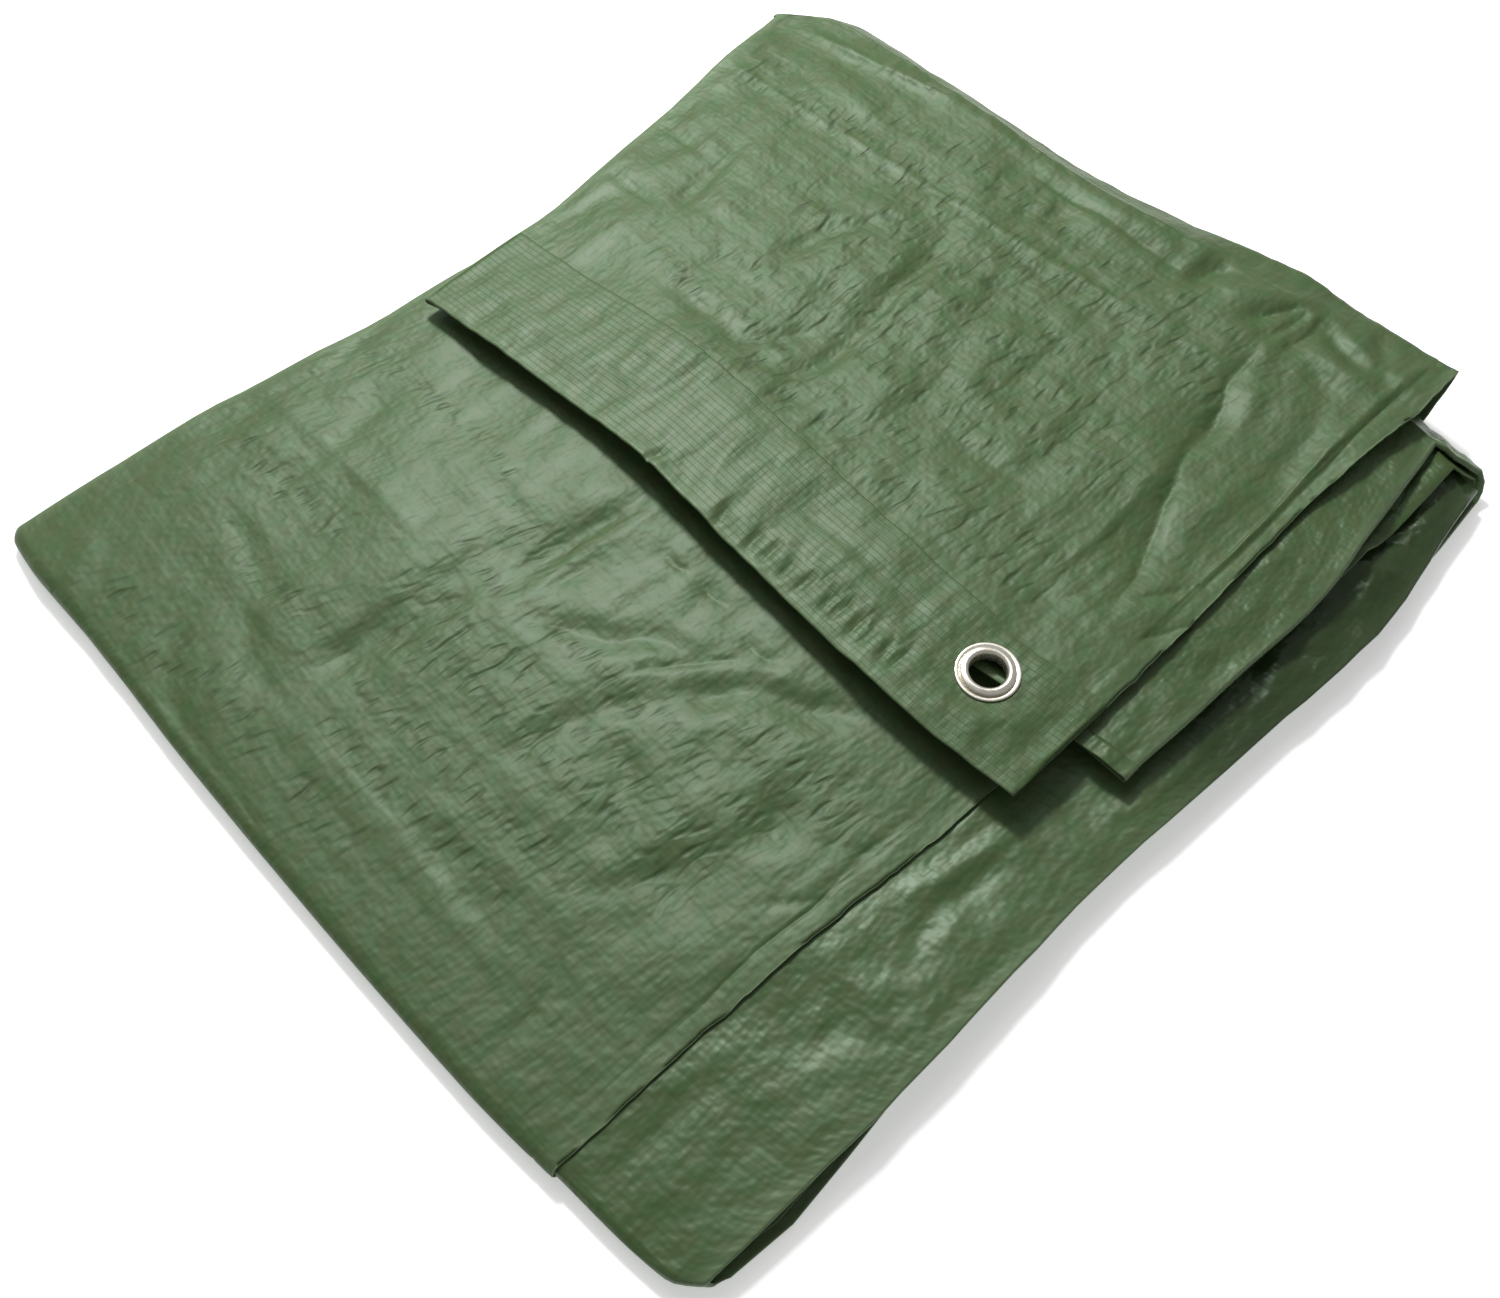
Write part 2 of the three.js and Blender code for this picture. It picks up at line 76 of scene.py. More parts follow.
lineNames = ["freeEdge", "leftPleat", "rightPleat", "innerPleat", "innerEdge"]
innerLines = {
    "y": [-204, -130, -40, 60, 120, 190],
    "freeEdge": [131, 133, 139, 141, 142, 143],
    "leftPleat": [-174, -169, -158, -154, -161, -168],
    "rightPleat": [182, 182, 181, 187, 189, 182],
    "innerPleat": [-171, -167, -157, -153, -160, -166],
    "innerEdge": [177, 177, 178, 182, 183, 177],
}
baseLines = {
    "y": [-204, -130, -40, 60, 120, 190],
    "freeEdge": [131, 134, 138, 142, 145, 149],
    "leftPleat": [-178, -173, -163, -160, -167, -173],
    "rightPleat": [184, 184, 181, 189, 189, 184],
    "innerPleat": [-175, -171, -162, -159, -166, -171],
    "innerEdge": [179, 180, 178, 184, 185, 180],
}
flapLines = {
    "y": [-32, 40, 85, 135, 190],
    "freeEdge": [148, 148, 147, 146, 150],
    "leftPleat": [-147, -150, -156, -163, -169],
    "rightPleat": [168, 171, 172, 167, 162],
    "innerPleat": [-150, -152, -157, -163, -167],
    "innerEdge": [158, 165, 169, 171, 171],
}
nearFoldLine = {
    "x": [-178, -170, -111, -51, 38, 111, 131, 174, 183],
    "y": [-190, -196, -198.5, -202, -204.5, -204.5, -203.5, -200, -193],
}
farFoldLine = {
    "x": [-174, -167, -152, -130, -50, 5, 80, 115, 149, 190],
    "y": [166, 179, 191.5, 194.5, 193, 192.5, 194, 190, 184.5, 184],
    "standOff": [0, 0, 0, 0, 1, 3, 12, 14, 18, 18],
}
# Section of the far fold: round below, and pressed to two creases above with a flat band between.
# Reach and rise are shares of the fold's radius, and the outer ones of the outermost ply's stand-off.
farFoldSection = {
    "share": [0, 0.14, 0.29, 0.43, 0.56, 0.92, 1],
    "reach": [0, 0.45, 0.83, 1.05, 1.13, 0.1, 0],
    "rise": [-1, -0.93, -0.62, -0.2, 0.2, 1, 1],
    "outerReach": [0, 0.08, 0.42, 0.68, 0.83, 0.3, 0],
    "outerRise": [0, 0.02, 0.15, 0.35, 0.65, 0.32, 0.28],
}
frontEdgeLine = {"x": [-147, -45, 20, 102, 148], "y": [-33, -27, -31, -36, -33]}
frontEdgeAt = [-33.0, -1.0, 2.0, 4.0]  # where the left, right and inner pleats and the inner edge meet it
flapRise = {"distance": [0, 47, 90, 150, 230], "rise": [2.9, 3.2, 2.2, 1, 0]}
riseAcross = {"x": [-147, -100, -40, 20, 102, 148], "part": [0.15, 0.6, 1, 1, 0.75, 0.55]}
# Broad unevenness of the pile: its near fold, left pleats and right side are pressed thinner.
# Here and below, a pair of numbers is where a change starts and where it is complete.
pile = {
    "nearPress": 0.44, "near": (96.0, 212.0), "nearCurve": 1.4,
    "leftPress": 0.28, "left": (146.0, 180.0), "leftFades": (60.0, 160.0),
    "rightPress": 0.24, "right": (150.0, 192.0), "rightGrows": (-40.0, 110.0), "rightFades": (17.0, 22.0),
    "swell": 0.045, "swellX": 62.0, "swellY": 48.0, "swellTurnX": 0.8, "swellTurnY": 0.4,
}
# Its right side gapes near the front corner, and the lower lip stands out
gape = {"side": (150.0, 180.0), "split": 7.5, "open": 2.6, "lipReach": 6.0}
gapeLine = {
    "y": [-204, -197, -187, -172, -150, -122, -90, -40],
    "part": [0, 0.35, 0.85, 1, 0.6, 0.2, 0.04, 0],
}
# Its right side and near fold lean out over the floor, by a slope about their middle heights
overhang = {
    "slope": 0.55, "rightMiddle": 5.0, "right": (150.0, 182.0), "rightFades": (110.0, 168.0),
    "nearMiddle": 4.0, "near": (165.0, 203.0),
}


def along(table, key, column, at):
    # smooth curve through a table's rows, the same one that the solids follow
    places, values = np.array(table[key], float), np.array(table[column], float)
    slopes = np.empty(len(places))
    slopes[1:-1] = (values[2:] - values[:-2]) / (places[2:] - places[:-2])
    slopes[0] = (values[1] - values[0]) / (places[1] - places[0])
    slopes[-1] = (values[-1] - values[-2]) / (places[-1] - places[-2])
    at = np.clip(np.asarray(at, float), places[0], places[-1])
    i = np.clip(np.searchsorted(places, at, side="right") - 1, 0, len(places) - 2)
    span = places[i + 1] - places[i]
    u = (at - places[i]) / span
    rise = values[i + 1] - values[i]
    slopeIn, slopeOut = slopes[i] * span, slopes[i + 1] * span
    bend = 3 * rise - 2 * slopeIn - slopeOut + u * (slopeIn + slopeOut - 2 * rise)
    return values[i] + u * (slopeIn + u * bend)


def smoothstep(at, low, high):
    t = np.clip((np.asarray(at, float) - low) / (high - low), 0, 1)
    return t * t * (3 - 2 * t)


def lerp(a, b, t):
    return a + (b - a) * t


def linesAt(stretch, share):
    # the five lines across the strip, as columns, for each point's place along it
    hemPlace = frontPlace + cloth["endHem"]
    lines = np.zeros((len(share), len(lineNames)))
    for k, name in enumerate(lineNames):
        byStretch = {
            "inner": lambda s: along(innerLines, "y", name, lerp(farPlace, nearPlace, s)),
            "nearFold": lambda s: lerp(innerLines[name][0], baseLines[name][0], s),
            "base": lambda s: along(baseLines, "y", name, lerp(nearPlace, farPlace, s)),
            "farFold": lambda s: lerp(baseLines[name][-1], flapLines[name][-1], s ** cloth["farFoldDrift"]),
            "flap": lambda s: along(flapLines, "y", name, lerp(farPlace, hemPlace, s)),
            "hem": lambda s: along(flapLines, "y", name, lerp(hemPlace, frontPlace, s)),
        }
        for index, part in enumerate(stretchNames):
            here = stretch == index
            if here.any():
                lines[here, k] = byStretch[part](share[here])
    return lines


pitch = cloth["plyPitch"]
pleatBend = cloth["pleatBend"]
pleatArc = math.pi * pitch / 2
hemBend = cloth["hemDepth"] / 2
hemArc = math.pi * hemBend


def acrossSpans():
    # start of each ply and pleat, measured across the flat cloth from its hemmed free edge
    spans, at = [], 0.0
    for ply, width in enumerate(cloth["plyWidths"]):
        spans.append(("ply", ply, at, at + width))
        at += width
        if ply < cloth["plyCount"] - 1:
            spans.append(("pleat", ply, at, at + pleatArc))
            at += pleatArc
    return spans


spans = acrossSpans()
flatWidth = spans[-1][3]
flatLength = float(stretchEnds[-1])
pleatStart = cloth["plyWidths"][0]
rightPleatStart = spans[2][3]


def plyLevel(ply):
    return (cloth["plyCount"] - 1 - ply + 0.5) * pitch


def turnUnder(beyond):
    # a hem turned under along an edge: how far in from the edge, and how deep, a point past it lies
    turn = np.clip(beyond / hemArc, 0, 1) * math.pi
    inward = hemBend * (1 - np.sin(turn)) + np.maximum(beyond - hemArc, 0)
    return inward, hemBend * (1 - np.cos(turn))


def foldAcross(u, v, sink):
    # the pleats: each flat point's place across the strip and level in it, and what folds it further
    vIn = np.clip(v, 0, flatLength)
    stretch = np.clip(np.searchsorted(stretchEnds, vIn, side="left"), 0, len(stretchEnds) - 1)
    starts = np.concatenate([[0], stretchEnds[:-1]])
    share = (vIn - starts[stretch]) / (stretchEnds[stretch] - starts[stretch])
    lines = linesAt(stretch, share)
    endIn, endDepth = turnUnder(np.maximum(v - flatLength, 0))
    endIn = np.where(v > flatLength - hemBend, endIn, 0)
    x, level, nominal, front = (np.zeros(len(u)) for _ in range(4))
    depth = endDepth + sink
    last = cloth["plyCount"] - 1
    for kind, ply, start, end in spans:
        here = (u >= (start if start else -np.inf)) & (u < (end if end < flatWidth else np.inf))
        if not here.any():
            continue
        startsRight = ply % 2 == 0
        if kind == "pleat":
            part = (u[here] - start) / pleatArc
            turn = math.pi * (0.5 + part if startsRight else 0.5 - part)
            radius = pitch / 2 + (-depth[here] if startsRight else depth[here])
            centre = lines[here, ply + 1] + (pleatBend if startsRight else -pleatBend)
            x[here] = centre + radius * np.cos(turn)
            level[here] = plyLevel(ply) - pitch / 2 + radius * np.sin(turn)
            nominal[here] = plyLevel(ply) - pitch / 2 * (1 - np.sin(turn))
            front[here] = frontEdgeAt[ply]
            continue
        inset = pleatBend if startsRight else -pleatBend
        first = lines[here, ply] - (inset if ply else 0)
        second = lines[here, ply + 1] + (inset if ply < last else 0)
        part = np.clip((u[here] - start) / (end - start), 0, 1)
        x[here] = lerp(first, second, part)
        if ply in (0, last):
            beyond = np.maximum(start - u[here] if ply == 0 else u[here] - end, 0)
            inward, sideDepth = turnUnder(beyond)
            x[here] -= np.where(beyond > 0, inward, 0)
            depth[here] += sideDepth
        level[here] = plyLevel(ply) + (-depth[here] if startsRight else depth[here])
        nominal[here] = plyLevel(ply)
        if ply == 0:
            front[here] = along(frontEdgeLine, "x", "y", x[here])
        else:
            fromLeft = 1 - part if startsRight else part
            leftY = frontEdgeAt[ply if startsRight else ply - 1]
            rightY = frontEdgeAt[ply - 1 if startsRight else ply]
            front[here] = lerp(leftY, rightY, fromLeft ** cloth["frontEdgeCurve"])
    outer = smoothstep(nominal, plyLevel(1) + pitch / 4, plyLevel(0) - pitch / 4)
    return {
        "x": x, "level": level, "outer": outer, "front": front,
        "stretch": stretch, "share": share, "endIn": endIn,
    }


def foldAlong(laid):
    # carries the pleated profile round the two letter folds
    x, level, outer, stretch = laid["x"], laid["level"], laid["outer"], laid["stretch"]
    near = along(nearFoldLine, "x", "y", x)
    far = along(farFoldLine, "x", "y", x)
    standOff = along(farFoldLine, "x", "standOff", x) * outer
    y, z = np.zeros(len(x)), np.zeros(len(x))
    for index, part in enumerate(stretchNames):
        here = stretch == index
        if not here.any():
            continue
        s, lv = laid["share"][here], level[here]
        turn = math.pi * s
        if part == "inner":
            setback = cloth["farSetback"] - cloth["cornerReach"] * smoothstep(x[here], *cloth["corner"])
            y[here] = lerp(far[here] - setback, near[here], s)
            z[here] = cloth["nearFoldHeight"] + lv
        elif part == "nearFold":
            y[here] = near[here] - lv * np.sin(turn)
            z[here] = cloth["nearFoldHeight"] + lv * np.cos(turn)
        elif part == "base":
            y[here] = lerp(near[here], far[here], s)
            z[here] = cloth["nearFoldHeight"] - lv
        elif part == "farFold":
            shares = farFoldSection["share"]
            section = {key: np.interp(s, shares, column) for key, column in farFoldSection.items()}
            radius = cloth["farFoldRadius"] + lv
            stand = standOff[here]
            y[here] = far[here] + radius * section["reach"] + stand * section["outerReach"]
            z[here] = cloth["farFoldHeight"] + radius * section["rise"] + stand * section["outerRise"]
        else:
            edge = laid["front"][here]
            hemLine = edge + cloth["endHem"]
            if part == "flap":
                y[here] = lerp(far[here], hemLine, s)
            else:
                y[here] = lerp(hemLine, edge, s) + laid["endIn"][here]
            nearFar = 1 - smoothstep(far[here] - y[here], 0, cloth["standOffLength"])
            lift = along(flapRise, "distance", "rise", y[here] - edge)
            lift = lift * along(riseAcross, "x", "part", x[here])
            stand = standOff[here] * farFoldSection["outerRise"][-1] * nearFar
            z[here] = cloth["flapFoot"] + lv + outer[here] * lift + stand
    return x, y, z


def pressDown(x, y, z, stretch):
    # the pile is pressed, swells and sinks, and its lower layers gape and lean out
    nearFrom, nearTo = pile["near"]
    nearPress = pile["nearPress"] * np.clip((-y - nearFrom) / (nearTo - nearFrom), 0, 1) ** pile["nearCurve"]
    leftPress = pile["leftPress"] * smoothstep(-x, *pile["left"]) * (1 - smoothstep(y, *pile["leftFades"]))
    rightPress = pile["rightPress"] * smoothstep(x, *pile["right"]) * smoothstep(y, *pile["rightGrows"])
    rightPress = rightPress * (1 - smoothstep(z, *pile["rightFades"]))
    swellAcross = np.sin(x / pile["swellX"] + pile["swellTurnX"])
    swell = pile["swell"] * swellAcross * np.cos(y / pile["swellY"] + pile["swellTurnY"])

    lower, split = stretch <= baseStretch, gape["split"]
    opening = smoothstep(x, *gape["side"]) * along(gapeLine, "y", "part", y) * lower
    above = np.clip(1 - (z - split) / split, 0, 1) * (z > split)
    below = np.clip(z / split, 0, 1) * (z <= split)
    z = z + opening * gape["open"] * (above - below)
    x = x + opening * gape["lipReach"] * (z < split)
    z = z * (1 - nearPress) * (1 - leftPress) * (1 - rightPress) * (1 + swell)

    leanRight = smoothstep(x, *overhang["right"]) * (1 - smoothstep(y, *overhang["rightFades"])) * lower
    x = x + overhang["slope"] * (z - overhang["rightMiddle"]) * leanRight
    y = y - overhang["slope"] * (z - overhang["nearMiddle"]) * smoothstep(-y, *overhang["near"])
    return x, y, z


# Creases listed one by one: a width, a height, below nothing for a trough, and a path over the pack.
# A sharp one comes to a line and a soft one is round, and a lean makes one side steeper than the other.
def soft(width, height, path, lean=0.0, isSharp=False):
    return {"path": path, "width": width, "height": height, "lean": lean, "sharp": isSharp}


def sharp(width, height, path, lean=0.0):
    return soft(width, height, path, lean, True)


innerCreases = [
    soft(4, 0.5, [(-160, -102), (-110, -100), (-62, -101)], 0.4),
    soft(3, 0.25, [(-60, -101), (20, -103), (112, -102)], 0.4),
    soft(8, -1.9, [(-44, -86), (-46, -120), (-50, -166)], 0.3),
    soft(9, 0.8, [(-72, -96), (-70, -130), (-76, -170)]),
    soft(12, -2.2, [(100, -76), (98, -108), (92, -138)]),
    soft(7, -1.3, [(40, -104), (62, -118), (66, -140)]),
    soft(3, 0.45, [(-64, -178), (0, -180), (50, -181), (104, -179)], 0.4),
    soft(4, -0.9, [(-122, -141), (-100, -148), (-84, -152)]),
    soft(3, 0.25, [(-84, -160), (-10, -162), (50, -160), (112, -157)], 0.3),
    soft(3, 0.25, [(-104, -140), (-30, -142), (30, -140), (92, -138)], 0.3),
    sharp(1.4, 0.45, [(-36, -174), (10, -175), (62, -178)]),
    soft(4.2, -1.7, [(-22, -38), (-27, -60), (-26, -86)], -0.3),
    soft(4, -0.9, [(-34, -98), (-38, -126), (-46, -150)]),
    soft(3, -1.0, [(-14, -58), (-18, -82)]),
    soft(2, -0.3, [(-44, -63), (-44, -83)]),
    soft(2, -0.3, [(-30, -65), (-31, -85)]),
    soft(6.5, -2.0, [(94, -39), (78, -52), (60, -60), (48, -75), (41, -84)], 0.3),
    soft(4.5, -1.3, [(38, -87), (30, -100), (24, -115), (22, -132)]),
    soft(4.5, -1.2, [(39, -63), (20, -72), (12, -82), (-5, -90), (-13, -96)]),
    sharp(1.6, -0.9, [(48, -55), (40, -66), (31, -78), (25, -88)]),
    sharp(1.3, -1.0, [(0, -44), (5, -45.5), (11, -44)]),
    sharp(1.3, -1.0, [(16, -43), (23, -45), (30, -44)]),
    sharp(1.3, -0.8, [(44, -49), (51, -50), (59, -48)]),
    soft(5, -1.2, [(95, -78), (99, -88), (102, -98)]),
    soft(2.6, 0.5, [(60, -64), (63, -74), (72, -75), (77, -65)]),
    soft(4.5, -0.9, [(70, -151), (80, -137), (91, -118)]),
    sharp(1.5, -0.55, [
        (129, -38), (128, -60), (126.5, -82), (128, -102), (125, -124), (126, -150), (124, -186),
    ]),
    sharp(1.8, -0.7, [(113, -85), (129, -74)]),
    sharp(1.8, -0.7, [(117, -111), (128, -97)]),
    sharp(1.8, -0.5, [(119, -116), (117, -104), (118, -92), (122, -79)]),
    soft(4, 0.8, [(-152, -178), (-142, -190), (-128, -201)]),
    soft(4, -0.9, [(-102, -177), (-85, -192), (-58, -201)]),
    sharp(1.7, -0.6, [(-120, -197), (-90, -198.5), (-60, -199), (-30, -202), (-6, -206)]),
    soft(5, -1.1, [(-86, -159), (-70, -172), (-48, -177)]),
    sharp(1.7, -0.9, [(79, -162), (88, -170), (92.5, -181), (93, -200)]),
    soft(5, -0.9, [(26, -169), (44, -173), (62, -173)]),
    soft(6, -0.8, [(-156, -40), (-150, -75), (-158, -120), (-162, -160)], 0.3),
    soft(6, -0.9, [(-128, -66), (-118, -96), (-122, -128)]),
    soft(2.4, -0.9, [(145, -198), (143, -184), (144, -172), (146, -148)]),
    soft(3, 1.2, [(143, -82), (148, -64), (151, -49), (153, -36)]),
    soft(3, -1.2, [(159, -95), (156, -80), (155, -69), (157, -46)]),
    soft(4, -0.8, [(150, -140), (161, -122), (172, -112)]),
    soft(3, 0.8, [(148, -112), (158, -106), (166, -92)]),
    soft(2.2, -0.8, [(188, 56), (184, 31), (183, 12), (181, -12), (180, -39), (173, -112)]),
    soft(2.6, 0.8, [(176, 60), (174, 30), (172, 0), (170, -30)]),
    sharp(2.4, -1.2, [(164, 96), (170, 112), (180, 124)]),
    sharp(2.2, 1.2, [(160, 118), (170, 128), (184, 134)]),
    sharp(2.6, -1.2, [(166, 62), (171, 78), (182, 88)]),
    sharp(2.2, -1.2, [(158, 136), (166, 142), (182, 150)]),
    sharp(2.2, -1.1, [(162, 150), (170, 160), (176, 176)]),
    sharp(2.0, 1.0, [(172, 146), (176, 160), (181, 172)]),
    sharp(2.0, -1.0, [(160, 176), (168, 181), (178, 180)]),
]
flapCreases = [
    sharp(1.5, 0.5, [(-166, 141), (-100, 144), (-40, 148), (20, 152), (92, 155)]),
    soft(3.6, -1.9, [
        (-30, 139), (-25, 120), (-24, 100), (-20, 85), (-17, 65), (-16, 50), (-20, 38), (-29, 33),
    ], -0.3),
    soft(3.6, -1.2, [(-51, 122), (-56, 112), (-62, 98), (-65, 80)]),
    soft(3.6, -1.1, [(-29, 63), (-36, 48), (-45, 37)]),
    soft(4.5, -1.0, [(-88, 36), (-60, 37), (-38, 35)]),
    soft(4.5, 0.7, [(-124, 189), (-60, 190), (0, 190), (52, 188)]),
    sharp(1.7, -0.8, [(-28, 182), (10, 183), (62, 182)]),
    soft(5, -1.2, [(-20, 160), (-10, 168), (0, 178)]),
    soft(2.2, 1.0, [(-14, 165), (-11, 175)]),
    soft(4.2, -2.4, [(54, 180), (56, 190), (61, 200)], 0.4),
    soft(5.5, 1.6, [(62, 184), (74, 190), (86, 197)]),
    sharp(2.4, -1.6, [(92, 201), (86, 190), (79, 178)]),
    sharp(2.2, -1.5, [(94, 201), (93, 188), (90, 172)]),
    sharp(2.4, -1.6, [(98, 201), (101, 190), (98, 174)]),
    soft(4, -1.8, [(100, 200), (110, 192), (124, 188)]),
    soft(4, 1.2, [(104, 186), (116, 180), (130, 180)]),
    soft(3, -1.4, [(120, 206), (128, 196), (134, 184)]),
    sharp(2.0, -1.6, [(92, 170), (93, 150), (100, 135), (104, 120)]),
    sharp(1.9, -1.5, [(97, 142), (103, 110), (113, 85), (122, 62), (126, 43)]),
    soft(3, 1.0, [(100, 158), (108, 142), (109, 122)]),
    soft(7, -1.0, [(111, 58), (109, 84), (113, 110)]),
    sharp(1.7, 1.2, [(138, 202), (137, 176), (137, 150), (139, 120), (140, 92), (139, 58)], 0.4),
    sharp(1.3, -0.7, [(141, 204), (140.5, 170), (141, 130), (142, 90), (141.5, 50)]),
    sharp(1.5, -0.8, [(127, 49), (134, 60), (141, 72)]),
    sharp(1.5, -0.8, [(139, 39), (144, 48), (149, 61)]),
    sharp(1.4, 0.6, [(101, 38), (104, 62), (101, 92)]),
    sharp(1.5, -0.7, [(107, 27), (112, 35), (116, 43), (115, 60)]),
    sharp(1.5, -0.55, [(18, -4), (50, -3), (92, -6)]),
    soft(3, -0.8, [(-152, 62), (-118, 62)]),
    soft(3, -0.7, [(-152, 97), (-123, 95)]),
    soft(4, -0.9, [(-125, 119), (-118, 95), (-112, 60), (-107, 43)]),
    soft(5.5, -1.0, [(2, 18), (8, 28), (16, 40)]),
    soft(5, -0.9, [(40, 56), (54, 59), (70, 61)]),
    soft(7, -1.0, [(5, 126), (11, 94), (23, 63)]),
    soft(7, -0.9, [(72, 104), (71, 69), (70, 48)]),
    soft(7, 0.8, [(80, 104), (90, 109), (99, 116)]),
    soft(5, -0.7, [(-138, 176), (-110, 174), (-84, 166)]),
    soft(5, -0.9, [(112, 178), (122, 168), (128, 150), (130, 128)]),
    sharp(1.9, 1.3, [(-150, 181), (-112, 185), (-78, 191)]),
    soft(3, 0.5, [(110, -28), (122, -18), (136, -12)]),
]
# Memory of the maker's folds, faint straight ridges across the flap: the place along it, and both ends
memoryFolds = [
    (182, -150, -40), (160, -150, 70), (103, -140, 90), (80, -146, 60), (60, -140, 30), (42, -100, 96),
    (22, -140, 96),
]
for foldPlace, leftEnd, rightEnd in memoryFolds:
    foldPath = [(leftEnd, foldPlace - 1), ((leftEnd + rightEnd) / 2, foldPlace + 1.5), (rightEnd, foldPlace)]
    flapCreases.append(soft(1.5, 0.16, foldPath, 0.4))
# Short nicks pressed into the front edge of the wide hem: the place across it, and how far each runs aside
frontNicks = [
    (-26, -2), (7, 2), (22.5, 1), (31, 0), (39, 1), (48, -1), (58, 1), (64, -1), (71, 1), (77, 0), (84, 2),
    (91, -1),
]
for nickPlace, aside in frontNicks:
    flapCreases.append(soft(1.2, -1.2, [(nickPlace, -18 - abs(aside)), (nickPlace + aside, -29)]))

# How strong creases are, and how they fade out towards their ends, as shares of their length
creaseShape = {"strength": 1.4, "fade": (-0.02, 0.25), "atEnds": 0.3}


def creaseField(x, y, creases):
    # sum of the creases' heights at each point
    total = np.zeros(len(x))
    for crease in creases:
        path = np.array(crease["path"], float)
        steps = np.diff(path, axis=0)
        lengths = np.hypot(steps[:, 0], steps[:, 1])
        before = np.concatenate([[0], np.cumsum(lengths)])
        best, run, side = np.full(len(x), 1e9), np.zeros(len(x)), np.zeros(len(x))
        for (px, py), (sx, sy), length, start in zip(path, steps, lengths, before):
            t = np.clip(((x - px) * sx + (y - py) * sy) / length ** 2, 0, 1)
            gap = np.hypot(x - px - t * sx, y - py - t * sy)
            closer = gap < best
            best = np.where(closer, gap, best)
            run = np.where(closer, start + t * length, run)
            side = np.where(closer, np.sign(sx * (y - py) - sy * (x - px)), side)
        whole = before[-1]
        low, high = (part * whole for part in creaseShape["fade"])
        fade = smoothstep(run, low, high) * smoothstep(whole - run, low, high)
        ratio = best / (crease["width"] * (1 + side * crease["lean"]))
        shape = np.exp(-ratio) if crease["sharp"] else np.exp(-ratio ** 2)
        total += creaseShape["strength"] * crease["height"] * shape * lerp(creaseShape["atEnds"], 1, fade)
    return total


def noiseAt(x, y, sizeX, sizeY, seed):
    # smooth noise of about one unit, stretched to a size in millimetres each way
    return np.fromiter((noise.noise((a, b, seed)) for a, b in zip(x / sizeX, y / sizeY)), float, len(x))


def waves(kind, x, y, seed=None):
    # one kind of unevenness, with its own size, height and seed
    seed = kind["seed"] if seed is None else seed
    return kind["height"] * noiseAt(x, y, kind["across"], kind["along"], seed)


# Unevenness of the cloth: each kind's size across and along in millimetres, and its height
undulation = [
    {"across": 56, "along": 40, "height": 1.5},  # broad swells
    {"across": 20, "along": 30, "height": 0.9},  # hollows that the hand leaves
    {"across": 30, "along": 8, "height": 0.35},  # ripples along one set of tapes
    {"across": 7, "along": 24, "height": 0.6},  # and along the other
]
# Short puckers: how strong they are away from their rows, how the rows sway, and how patchy they are
puckers = {
    "across": 5.0, "along": 12.0, "height": 0.5, "everywhere": 0.16, "sway": 5.0, "swaySize": (40, 30),
    "patchy": 0.9, "patchSize": (14, 16), "ends": (-10.0, 15.0),
}
# Steps between the noise of one kind and the next
seedSteps = {"undulation": 7.3, "puckers": 83.9, "patches": 5.0}
# Rows of short puckers: the middle of each, its half height, and where along the row it starts and ends
innerPuckerRows = [
    (-72, 7, -58, -18), (-72, 8, 62, 122), (-93, 5, -60, 110), (-113, 7, -58, 100), (-127, 5, -40, 104),
    (-148, 4, -110, 70), (-166, 4, -30, 70), (-187, 7, -130, 10), (-60, 4, -160, -60), (-120, 6, -160, -80),
]
flapPuckerRows = [
    (146, 9, -150, 100), (124, 6, -60, 70), (104, 8, -90, 90), (84, 7, -60, 100), (66, 6, -90, 60),
    (29, 7, -60, 110), (44, 4, -110, 110), (168, 5, -90, 110), (-16, 5, 40, 110),
]
innerPanel = {"creases": innerCreases, "puckerRows": innerPuckerRows, "seed": 3.7, "uneven": 1.0}
flapPanel = {"creases": flapCreases, "puckerRows": flapPuckerRows, "seed": 51.2, "uneven": 1.35}


def puckerField(x, y, panel):
    # how strongly a panel is puckered at each point
    sway = puckers["sway"] * noiseAt(x, y, *puckers["swaySize"], panel["seed"])
    total = np.full(len(x), puckers["everywhere"])
    for middle, half, start, end in panel["puckerRows"]:
        band = np.exp(-((y - middle + sway) / half) ** 2)
        total += band * smoothstep(x - start, *puckers["ends"]) * smoothstep(end - x, *puckers["ends"])
    patches = noiseAt(x, y, *puckers["patchSize"], panel["seed"] + seedSteps["patches"])
    return np.clip(total * (1 + puckers["patchy"] * patches), 0, 1)


def panelHeights(x, y, panel):
    # a panel's creases, swells and puckers
    total = np.zeros(len(x))
    for index, wave in enumerate(undulation):
        total += waves(wave, x, y, panel["seed"] + seedSteps["undulation"] * index)
    total += puckerField(x, y, panel) * waves(puckers, x, y, panel["seed"] + seedSteps["puckers"])
    return creaseField(x, y, panel["creases"]) + panel["uneven"] * total


# Crumpling of the ledge on the right, and the places along the pack where it grows
sideCrumple = {
    "side": (136.0, 148.0), "least": 0.7, "growth": [(-30, 60), (70, 130)],
    "waves": [
        {"across": 9, "along": 17, "height": 1.0, "turn": 0.5, "seed": 8.8},
        {"across": 5, "along": 12, "height": 0.5, "turn": -0.4, "seed": 15.1},
    ],
}
# How the unevenness fades towards the floor and the near edge, and where the flap's takes over in height
dressing = {"fade": 1.5, "flap": (0.3, 7.0), "edge": (-217.0, -198.0)}


